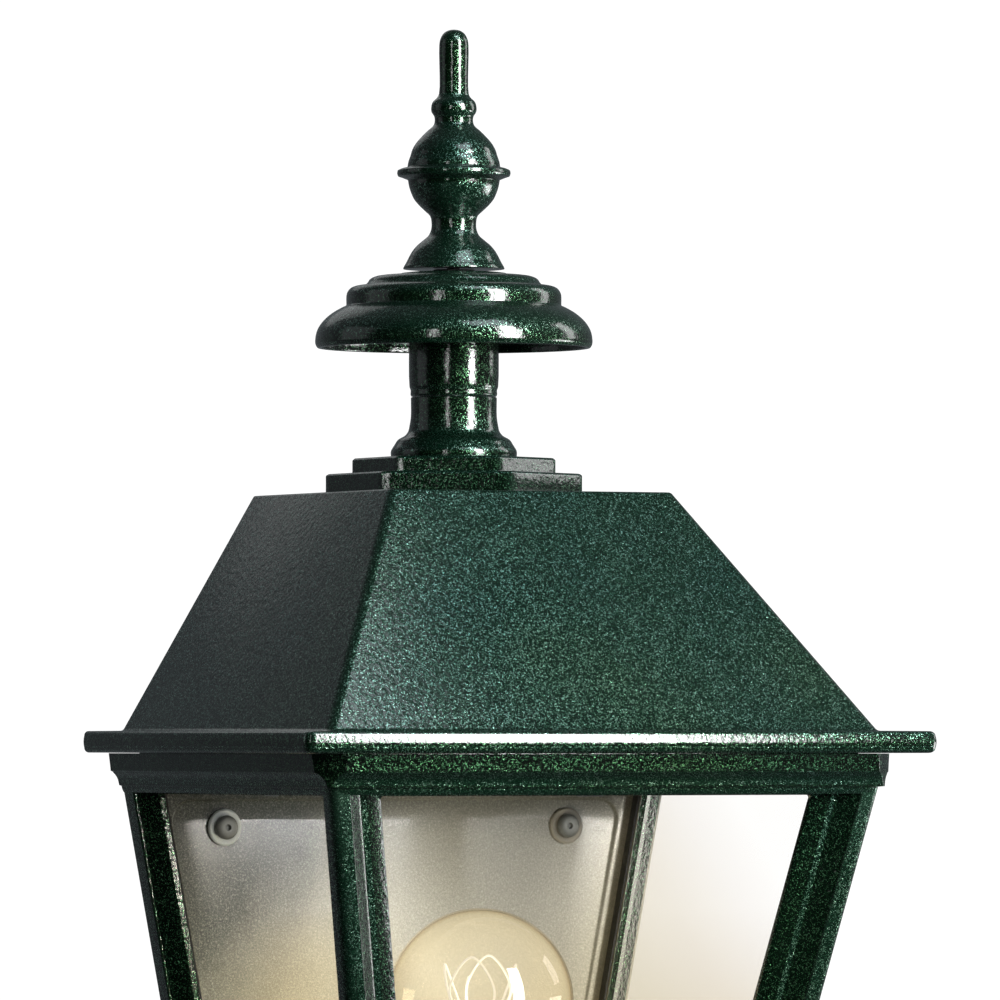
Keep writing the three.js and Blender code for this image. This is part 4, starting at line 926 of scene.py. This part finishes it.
def back_wall():
    """Plate with a sunk panel inside a raised border, and its four holes."""
    border_y, panel_y, back_y = -6.0, -4.0, -0.03
    panel_inset, upper_r, lower_r = 18.5, 0.9, 1.0
    verts, faces = [], []

    def outline(inset, z_top, z_bottom, r):
        return fillet(opening("front", inset, z_top, z_bottom), r, closed=True, segs=6)

    def band(first, first_y, second, second_y):
        base, count = len(verts), len(first)
        verts.extend([(x, first_y, z) for x, z in first])
        verts.extend([(x, second_y, z) for x, z in second])
        for i in range(count):
            j = (i + 1) % count
            faces.append((base + i, base + j, base + count + j, base + count + i))

    def flat(rings, y):
        base = len(verts)
        verts.extend((x, y, z) for ring in rings for x, z in ring)
        for corners in tessellate_polygon([[Vector((x, z, 0)) for x, z in ring]
                                           for ring in rings]):
            faces.append(tuple(base + i for i in corners))

    outer = outline(1.5, -5.0, BODY_BOTTOM + 0.1, 0.5)
    rim = outline(1.75, -5.25, BODY_BOTTOM + 0.35, 0.5)
    band(outer, back_y, outer, border_y + 0.25)
    band(outer, border_y + 0.25, rim, border_y)
    # rounded step down from the border to the sunk panel: (inset, y, growth)
    steps = []
    for k in range(5):
        sine, fall = math.sin(math.pi / 2 * k / 4), 1 - math.cos(math.pi / 2 * k / 4)
        steps.append((panel_inset - upper_r + upper_r * sine, border_y + upper_r * fall,
                      upper_r * sine))
    for k in range(1, 5):
        sine, fall = math.sin(math.pi / 2 * k / 4), 1 - math.cos(math.pi / 2 * k / 4)
        steps.append((panel_inset + lower_r * fall, panel_y - 0.9 + 0.9 * sine,
                      upper_r + lower_r * fall))
    edge, edge_y = rim, border_y
    for inset, y, growth in steps:
        following = outline(inset, -24.6 - growth, -268.9 + growth, 9.9 - growth * 0.9)
        band(edge, edge_y, following, y)
        edge, edge_y = following, y
    turns = [2 * math.pi * i / 32 for i in range(32)]
    holes = [[(x + r * math.cos(turn), z + r * math.sin(turn)) for turn in turns]
             for x, z, r in WALL_HOLES]
    flat([edge] + holes, edge_y)
    for hole in holes:
        band(hole, edge_y, hole, back_y)
    flat([outer] + holes, back_y)
    return verts, faces


def add_frame():
    # the wall's inner face carries the painted lamp light of the enamel inside the lantern
    wall = add_piece("back_wall", back_wall(), ENAMEL_LAMPLIT, "body_frame",
                     angle=30, extra=(GREEN,))
    # the side against the wall is plain green
    for face in wall.data.polygons:
        if face.normal.y > 0.6 and face.center.y > -0.001:
            face.material_index = 1
    parts = {
        "front_post_left": post(-1, front=True), "front_post_right": post(1, front=True),
        "rear_post_left": post(-1, front=False), "rear_post_right": post(1, front=False),
        "window_lip_front": window_lip("front"), "window_lip_left": window_lip("left"),
        "window_lip_right": window_lip("right"), "bottom_rail": bottom_rail(),
        "cornice": cornice(), "roof_upstand": roof_upstand()}
    for name, mesh in parts.items():
        ob = add_piece(name, mesh, GREEN, "body_frame", angle=30, extra=(ENAMEL_LAMPLIT,))
        # faces turned to the lamp, and the front faces of the right rear post, get the same
        # painted lamp light as the back wall
        side = -1 if "left" in name else 1
        beside_lamp = name.startswith("rear_post") or name in (
            "window_lip_left", "window_lip_right")
        for face in ob.data.polygons:
            inward = beside_lamp and face.normal.x * side < -0.6
            if inward or (name == "rear_post_right" and face.normal.y < -0.6):
                face.material_index = 1


# (inset, top, bottom, rear) of a sealing strip's two edges, and its two depths
SEAL_OUTER = (18.2, -16.6, -263.4, -8.7)
SEAL_INNER = (26.5, -21.7, -257.5, -13.6)
SEAL_FRONT, SEAL_BACK = 13.2, 14.1


def seal(kind):
    """Flat sealing strip round the daylight opening."""
    section = ((SEAL_OUTER, SEAL_FRONT), (SEAL_INNER, SEAL_FRONT),
               (SEAL_INNER, SEAL_BACK), (SEAL_OUTER, SEAL_BACK))
    return skin([on_wall(kind, opening(kind, *edge), sunk) for edge, sunk in section])


add_frame()
for kind in ("front", "left", "right"):
    add_piece(f"sealing_strip_{kind}", seal(kind), RUBBER, f"seal_{kind}")
for side_name, side in SIDES.items():
    x0, x1 = sorted((side * 101, side * 124))
    lug = rounded_block(x0, x1, STACK_Y - 10, STACK_Y + 10, -13.8, -8.8, r=0.8)
    add_piece(f"crossbar_lug_{side_name}", lug, GREEN, "body_frame")

# ----------------------------------------------------- bottom tray and pendant
TRAY_TOP, TRAY_BOTTOM, TRAY_FLOOR = -284.3, -308, -304


def tray_mesh():
    width, depth = half_width_at(-284), depth_at(-284)
    # (half width, depth, height) down the outside, then up the inside
    outside = fillet([
        (width + 4.9, depth + 4.9, TRAY_TOP), (width + 5, depth + 5, -288.9),
        (70.6, depth - 11.4, -288.95), (69.5, depth - 12.5, -292.8),
        (65.5, depth - 16.5, -297.5), (63, depth - 19, -302.5),
        (61.8, depth - 20.2, TRAY_BOTTOM), (40, depth - 42, TRAY_BOTTOM)],
        [0, 1.6, 1.4, 3, 6, 3, 1.8, 0], segs=5)
    inside = fillet([
        (40, depth - 42, TRAY_FLOOR), (58, depth - 24, TRAY_FLOOR), (59, depth - 23, -302),
        (65.5, depth - 16.5, -292), (66, depth - 16, TRAY_TOP + 0.3)],
        [0, 1.5, 2, 3, 0], segs=4)
    loops = [flat_backed(half_width, reach, z, 7 if half_width > 71 else 5, 0.8, 0.6, 6)
             for half_width, reach, z in [(width + 4.2, depth + 4.2, TRAY_TOP)] + outside]
    for radius, z in ((14, TRAY_BOTTOM), (4.2, TRAY_BOTTOM + 0.2), (4.2, TRAY_FLOOR - 0.2),
                      (14, TRAY_FLOOR)):
        loops.append(matching_circle(loops[0], radius, z))
    loops += [flat_backed(half_width, reach, min(z, TRAY_TOP), 3, 2, 4.6, 6)
              for half_width, reach, z in inside]
    return skin(loops)


PENDANT = [
    (0, -346.4), (2.6, -345.8), (4.4, -344.0), (5.0, -341.6), (4.4, -339.2), (3.4, -337.6),
    (3.6, -336.2), (7.0, -333.8), (10.6, -330.6), (12.4, -326.8), (12.6, -323.4),
    (11.2, -320.6), (9.0, -318.8), (9.0, -317.4), (16.5, -315.6), (18.4, -314.2),
    (18.6, -312.2), (17.8, -310.8), (15.4, -309.4), (15.0, -308.3), (4.0, -308.3),
    (4.0, -291.9), (3.4, -291.5), (0, -291.5)]

add_piece("bottom_tray_casting", tray_mesh(), GREEN, "bottom_tray", angle=30)
add_piece("pendant_drop", turned(refine(PENDANT, corner=50, sub=5, r=0.4), y=STACK_Y),
          GREEN, "pendant")


# ------------------------------------------------------------------- tie rod
def threaded_rod():
    """Rod with a helical thread at both ends and chamfered tips."""
    major, minor, pitch, per_turn, chamfer = 3.0, 2.55, 1.0, 8, 0.6
    lower_end, upper_start = ROD_BOTTOM + 20, ROD_TOP - 28
    plain_step, margin = 6.0, 0.5
    heights = []
    z = ROD_BOTTOM
    while z < ROD_TOP - 1e-6:
        heights.append(z)
        if z <= lower_end + margin or z >= upper_start - margin:
            z += pitch / per_turn
        else:
            z = min(z + plain_step, upper_start - margin)
    heights.append(ROD_TOP)
    loops = []
    for z in heights:
        # the thread fades out over its last turn
        strength = max(0.0, min(1.0, max(lower_end - z, z - upper_start) / pitch))
        cut = max(0.0, chamfer - min(z - ROD_BOTTOM, ROD_TOP - z))

        def radius_at(angle):
            phase = (z / pitch - angle / (2 * math.pi)) % 1.0
            groove = 1 - abs(phase - 0.5) * 2
            return major - (major - minor) * strength * groove - cut

        loops.append(round_loop(radius_at, z, 32, STACK_Y))
    return skin(loops, "stack")


add_piece("tie_rod_threaded", threaded_rod(), ZINC, "tie_rod", angle=50)

# ------------------------------------------------------------ lampholder, lamp
LAMPHOLDER = [
    (5.2, -228.25), (11.5, -228.25), (12.5, -226.5), (13.5, -222), (18.5, -213),
    (20.6, -209), (20.6, -199.6), (21.6, -198.8), (21.6, -193.4), (20.6, -192.6),
    (19.6, -170.5), (18.8, -168.4), (16.6, -167.6), (16.2, -168.4), (16.2, -199.5),
    (10, -201.5), (8.5, -212), (5.2, -215.5), (5.2, -228.25)]


def lampholder():
    """Turned moulding with upright grooves round its upper outside."""
    grooves, groove_depth, bottom, top, least_radius = 28, 0.55, -191.5, -172.5, 17
    longest = 2.5
    profile = refine(LAMPHOLDER, corner=28, sub=3, r=0.5)[:-1]
    dense = []
    for i, point in enumerate(profile):
        following = profile[(i + 1) % len(profile)]
        extra = int((following - point).length / longest)
        dense += [point.lerp(following, k / (extra + 1)) for k in range(extra + 1)]
    loops = []
    for radius, z in dense:
        depth = groove_depth if bottom < z < top and radius > least_radius else 0.0
        loops.append(round_loop(
            lambda angle: radius - depth * max(0.0, math.cos(angle * grooves)) ** 0.6,
            z, 168, LAMP_Y))
    return skin(loops)


CAP_INSIDE = [(0.9, -188.6), (9.2, -187.0), (12.1, -184.4), (12.1, -163.7)]
CAP_TIP = [(12.2, -186.1), (10.4, -187.6), (6.0, -189.2), (0.9, -189.4)]


def lamp_cap():
    """Lamp cap with a rolled thread."""
    sides, pitch, step = 72, 3.629, 0.25
    top, bottom = -163.6, -185.6

    def plain(profile):
        return [round_loop(lambda angle: radius, z, sides, LAMP_Y) for radius, z in profile]

    loops = plain(CAP_INSIDE)
    for i in range(int((top - bottom) / step) + 1):
        z = top - step * i
        # the thread fades in and out over 1.5 mm
        strength = max(0.0, min(1.0, (-166.0 - z) / 1.5, (z + 185.2) / 1.5))

        def radius_at(angle):
            wave = 0.5 + 0.5 * math.cos(2 * math.pi * (z / pitch - angle / (2 * math.pi)))
            return 12.75 + strength * (0.4 * wave - 0.25 * (1 - wave))

        loops.append(round_loop(radius_at, z, sides, LAMP_Y))
    return skin(loops + plain(CAP_TIP))


GLOBE_NECK = [(12.3, -170.5), (12.3, -164.0), (12.9, -160.6), (14.6, -156.6),
              (18.6, -151.6), (23.6, -147.0)]


def globe_profile():
    """Inner face from the crown down to the neck, then the outer face back up."""
    wall = 0.7
    start = math.asin((-145.0 - GLOBE_Z) / GLOBE_RADIUS)
    arc = []
    for i in range(40):
        angle = start + (math.pi / 2 - start) * (i + 1) / 40
        arc.append((GLOBE_RADIUS * math.cos(angle), GLOBE_Z + GLOBE_RADIUS * math.sin(angle)))
    arc[-1] = (0.0, GLOBE_Z + GLOBE_RADIUS)
    curve = [Vector(point) for point in GLOBE_NECK + arc]
    # the neck and the start of the globe are smoothed together
    outside = spline(curve[:10], 4)[:-1] + curve[9:]
    inside = []
    for i, point in enumerate(outside):
        along = (outside[min(i + 1, len(outside) - 1)] - outside[max(i - 1, 0)]).normalized()
        moved = point + Vector((-along.y, along.x)) * wall
        inside.append(Vector((max(moved.x, 0.0), moved.y)))
    inside[-1] = Vector((0.0, GLOBE_Z + GLOBE_RADIUS - wall))
    return inside[::-1] + outside


BULB_STEM = [
    (0, -171.5), (6.5, -171.5), (7.2, -169), (7.4, -160), (5.2, -152), (3.2, -146),
    (2.8, -128), (3.4, -124), (2.4, -121.6), (0, -121)]


def filament_loops():
    """Four thin loops round the stem, alternately higher and lower."""
    loops = []
    for k in range(4):
        angle = k * math.pi / 2 + math.radians(14)
        start = Vector((math.cos(angle), math.sin(angle)))
        end = Vector((math.cos(angle + 1.25), math.sin(angle + 1.25)))
        crown = -96.6 if k % 2 else -93.0
        # (radius, share of the way round, height)
        stations = [(2.4, 0, -127), (9, 0, -121), (17.5, 0, -107), (19.5, 0.5, crown),
                    (15.5, 1, -106), (11, 1, -120), (7, 1, -133), (2.2, 1, -138)]
        points = []
        for radius, share, z in stations:
            x, y = start.lerp(end, share) * radius
            points.append((x, LAMP_Y + y, z))
        loops.append(tube(points, 0.5, sides=12, sub=10))
    return merged(loops)


add_piece("lampholder_moulding", lampholder(), HOLDER, "lampholder_body", angle=35)
add_piece("bulb_cap_threaded", lamp_cap(), BULB_CAP, "bulb_cap", body="bulb", angle=40)
add_piece("bulb_globe_glass", turned(globe_profile(), sides=128, y=LAMP_Y), BULB,
          "bulb_globe", body="bulb", angle=60)
add_piece("bulb_stem", turned(refine(BULB_STEM, corner=60, sub=5), sides=48, y=LAMP_Y), STEM,
          "bulb_filament", body="bulb", angle=60)
add_piece("bulb_filament_loops", filament_loops(), FILAMENT, "bulb_filament", body="bulb",
          angle=60)

# --------------------------------------------------------------------- wiring
CABLE_PATH = [
    (0, -0.9, CABLE_HOLE_Z), (0, -6, CABLE_HOLE_Z), (1.5, -12, CABLE_HOLE_Z - 2.0),
    (8, -15.5, CABLE_HOLE_Z - 10), (18, -15, CABLE_HOLE_Z - 19),
    (28, -13, CABLE_HOLE_Z - 19.5), (35, -11.8, CABLE_HOLE_Z - 16), (38, -11.5, -248.4)]
LIVE_PATH = [
    (30, -11.5, -229.4), (30, -13, -222), (27, -34, -216), (20, -56, -224),
    (16, -74, -240), (10, -86, -252), (2.2, LAMP_Y - 0.4, -248), (1.3, LAMP_Y, -240),
    (1.3, LAMP_Y, -228), (1.3, LAMP_Y, -217)]
NEUTRAL_PATH = [
    (46, -11.5, -229.4), (46, -14, -220), (39, -38, -212), (28, -62, -226),
    (20, -80, -246), (8, -91, -258), (-1.6, LAMP_Y - 1.2, -251), (-1.3, LAMP_Y, -240),
    (-1.3, LAMP_Y, -228), (-1.3, LAMP_Y, -217)]
WIRE_RADIUS = 1.1

add_piece("supply_cable_sheath", tube(CABLE_PATH, 3.2, sides=24, domed=False), CABLE,
          "supply_cable", angle=50)
add_piece("wire_live", tube(LIVE_PATH, WIRE_RADIUS, sides=16), BROWN, "lamp_wire_live",
          angle=50)
add_piece("wire_neutral", tube(NEUTRAL_PATH, WIRE_RADIUS, sides=16), BLUE,
          "lamp_wire_neutral", angle=50)

# --------------------------------------------------------------- wall fixings
# (radius, distance forward of the wall)
WALL_WASHER = [(3.2, 4.2), (8.1, 4.2), (8.1, 5.2), (7.4, 5.9), (5.9, 5.9), (5.5, 5.7),
               (3.2, 5.7), (3.2, 4.2)]
WALL_SCREW = [(0, 0.4), (2.8, 0.4), (2.8, 6.1), (5.2, 6.1), (5.3, 7.4), (4.5, 8.4),
              (2.6, 8.9), (1.3, 8.95), (1.1, 7.4), (0, 7.3)]

# the right washer gets the copy with painted shade
for side_name, grey in (("left", WASHER), ("right", WASHER_SHADED)):
    x = SIDES[side_name] * WALL_FIXING_X
    ring = turned(refine(WALL_WASHER, corner=40, sub=2, r=0.35)[:-1], sides=72, x=x,
                  closed=True, wall_z=WALL_FIXING_Z)
    add_piece(f"wall_washer_{side_name}_ring", ring, grey, f"wall_washer_{side_name}")
    head = turned(refine(WALL_SCREW, corner=40, sub=3, r=0.25), sides=64, x=x,
                  wall_z=WALL_FIXING_Z)
    add_piece(f"wall_screw_{side_name}_head", head, SCREW, f"wall_screw_{side_name}")

# ---------------------------------------------- finishes of the kept CAD pieces
# part of the piece's name: (material, edge rounding in mm); the longest match wins
FINISHES = {
    "glass": (PANE, 0.35), "seal": (RUBBER, 0.0), "clip_screw": (ZINC, 0.3),
    "clip": (ZINC, 0.12), "crossbar_screw": (ZINC, 0.35), "crossbar": (ZINC, 0.4),
    "rod_nut": (ZINC, 0.45), "tray_screw": (ZINC, 0.3), "pendant_nut": (ZINC, 0.5),
    "lampholder_bracket": (ZINC, 0.4), "lampholder_nipple": (BRASS, 0.2),
    "nipple_nut": (BRASS, 0.45), "lampholder_shell": (BRASS, 0.0),
    "lampholder_insert": (CERAMIC, 0.4), "lampholder_contact": (BRASS, 0.08),
    "terminal_block": (TERMINAL, 0.35), "cable_grommet": (RUBBER, 0.3),
    "earth_screw": (BRASS, 0.2), "bulb_contact": (SOLDER, 0.2),
}
OTHER_FINISH = (GREEN, 0.3)


def finish_cad_piece(name, ob):
    matches = [key for key in FINISHES if key in name]
    material, width = FINISHES[max(matches, key=len)] if matches else OTHER_FINISH
    if not ob.material_slots:
        ob.data.materials.append(material)
    for slot in ob.material_slots:
        slot.material = material
    smooth(ob.data, 34)
    if width:
        weld = ob.modifiers.new("weld", "WELD")
        weld.merge_threshold = 1e-6
        bevel = ob.modifiers.new("edges", "BEVEL")
        bevel.width = width * MM
        bevel.segments = 2
        bevel.limit_method = "ANGLE"
        bevel.angle_limit = math.radians(40)


for name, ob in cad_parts.items():
    if not ob.hide_render:
        finish_cad_piece(name, ob)

# ---------------------------------------------------------- stage, in metres
scene = bpy.context.scene
CAMERA_AZIMUTH = math.radians(-26.763)


def add_floor():
    """Pale floor grid below the lantern that throws no light of its own on it."""
    half, cells, gap = 3.4, 24, 0.16
    z = CAD_LO.z - gap
    ticks = [-half + 2 * half * i / cells for i in range(cells + 1)]
    verts = [(x, y, z) for y in ticks for x in ticks]
    row = cells + 1
    faces = []
    for j in range(cells):
        for i in range(cells):
            first = j * row + i
            faces.append((first, first + 1, first + row + 1, first + row))
    data = bpy.data.meshes.new("floor")
    data.from_pydata(verts, [], faces)
    floor = bpy.data.objects.new("floor", data)
    scene.collection.objects.link(floor)
    mat = new_shader("pale_floor")
    tone = mat.ramp(mat.noise(scale=3.0, detail=2),
                    [(0.3, (0.80, 0.80, 0.79)), (0.7, (0.84, 0.84, 0.83))])
    data.materials.append(mat.principled(
        Base_Color=tone, Roughness=0.9, Emission_Color=(1.0, 1.0, 0.99),
        Emission_Strength=0.55))
    floor.visible_glossy = False
    floor.visible_diffuse = False


def add_world():
    """White to the camera; to the lantern, pale behind it and dark on the camera's side."""
    world = bpy.data.worlds.new("studio")
    scene.world = world
    sky = Shader(world, "ShaderNodeOutputWorld", "Generated")
    camera_ray = sky.add("ShaderNodeLightPath").outputs["Is Camera Ray"]
    to_camera = (math.sin(CAMERA_AZIMUTH), -math.cos(CAMERA_AZIMUTH), 0.0)
    dot = sky.add("ShaderNodeVectorMath", {0: sky.coord, 1: to_camera},
                  operation="DOT_PRODUCT").outputs["Value"]
    share = sky.add("ShaderNodeMapRange", {"From Min": -1, "From Max": 1, "Value": dot})
    colour = sky.ramp(share.outputs["Result"], [
        (0.10, (0.10, 0.112, 0.12)), (0.55, (0.06, 0.066, 0.07)),
        (0.72, (0.010, 0.012, 0.012)), (0.95, (0.003, 0.004, 0.004))])
    room = sky.add("ShaderNodeBackground", {"Strength": 1.0, "Color": colour})
    white = sky.add("ShaderNodeBackground", {"Color": (1, 1, 1), "Strength": 1.07})
    sky.surface(sky.blend(camera_ray, room.outputs[0], white.outputs[0]))


def area_light(name, location, target, width, height, power, colour=(1, 1, 1)):
    data = bpy.data.lights.new(name, "AREA")
    data.shape = "RECTANGLE"
    data.size, data.size_y = width, height
    data.energy = power
    data.color = colour
    ob = bpy.data.objects.new(name, data)
    scene.collection.objects.link(ob)
    ob.location = location
    ob.rotation_mode = "QUATERNION"
    ob.rotation_quaternion = (ob.location - target).to_track_quat("Z", "Y")
    ob.visible_camera = False


LIGHT_TARGET = Vector((0, -0.10, (EAVE + 60) * MM))
COOL, PALE_BLUE, WHITE = (0.82, 0.95, 1.0), (0.90, 0.96, 1.0), (1, 1, 1)
# name, azimuth from the front towards the right and elevation in degrees, distance,
# width, height, power in watts, colour
AREA_LIGHTS = [
    ("softbox_top", 12, 56, 1.15, 0.55, 0.45, 3.8, COOL),
    ("strip_left", -44, 12, 1.5, 0.10, 0.9, 3, WHITE),
    ("side_left", -118, 14, 1.6, 0.9, 1.1, 1.1, PALE_BLUE),
    ("side_right", 88, 22, 1.5, 0.35, 0.9, 4, WHITE),
    ("low_right", 80, -11, 1.3, 0.55, 0.30, 5, WHITE),
    ("back_fill", 170, 35, 1.7, 1.2, 0.8, 1, WHITE),
]


def add_lights():
    # tall strip to the front right
    area_light("strip_right", location=Vector((0.468, -1.262, EAVE * MM + 0.50)),
               target=Vector((0, -0.1, EAVE * MM + 0.35)), width=0.36, height=1.1, power=44)
    for name, azimuth, elevation, distance, width, height, power, colour in AREA_LIGHTS:
        around, up = math.radians(azimuth), math.radians(elevation)
        direction = Vector((math.sin(around) * math.cos(up),
                            -math.cos(around) * math.cos(up), math.sin(up)))
        area_light(name, LIGHT_TARGET + direction * distance, LIGHT_TARGET, width, height,
                   power, colour)


def add_lamp_glow():
    """Warm point light in the middle of the globe."""
    data = bpy.data.lights.new("lamp_glow", "POINT")
    data.energy = 0.36
    data.color = (1.0, 0.945, 0.83)
    data.shadow_soft_size = 0.022
    ob = bpy.data.objects.new("lamp_glow", data)
    scene.collection.objects.link(ob)
    ob.location = (0, LAMP_Y * MM, (GLOBE_Z + EAVE) * MM)
    ob.visible_camera = False
    ob.visible_glossy = False


def add_camera():
    """Long lens from the front left, tilted slightly up."""
    data = bpy.data.cameras.new("camera")
    data.sensor_width = 36
    data.lens = 331.868988
    data.clip_start, data.clip_end = 0.05, 60
    camera = bpy.data.objects.new("camera", data)
    scene.collection.objects.link(camera)
    camera.location = (-1.7941, -3.6634, (EAVE + 5.914) * MM)
    camera.rotation_euler = (math.radians(90 + 1.418), 0, CAMERA_AZIMUTH)
    scene.camera = camera


add_floor()
add_world()
add_lights()
add_lamp_glow()
add_camera()
scene.view_settings.view_transform = "Standard"
scene.view_settings.look = "None"
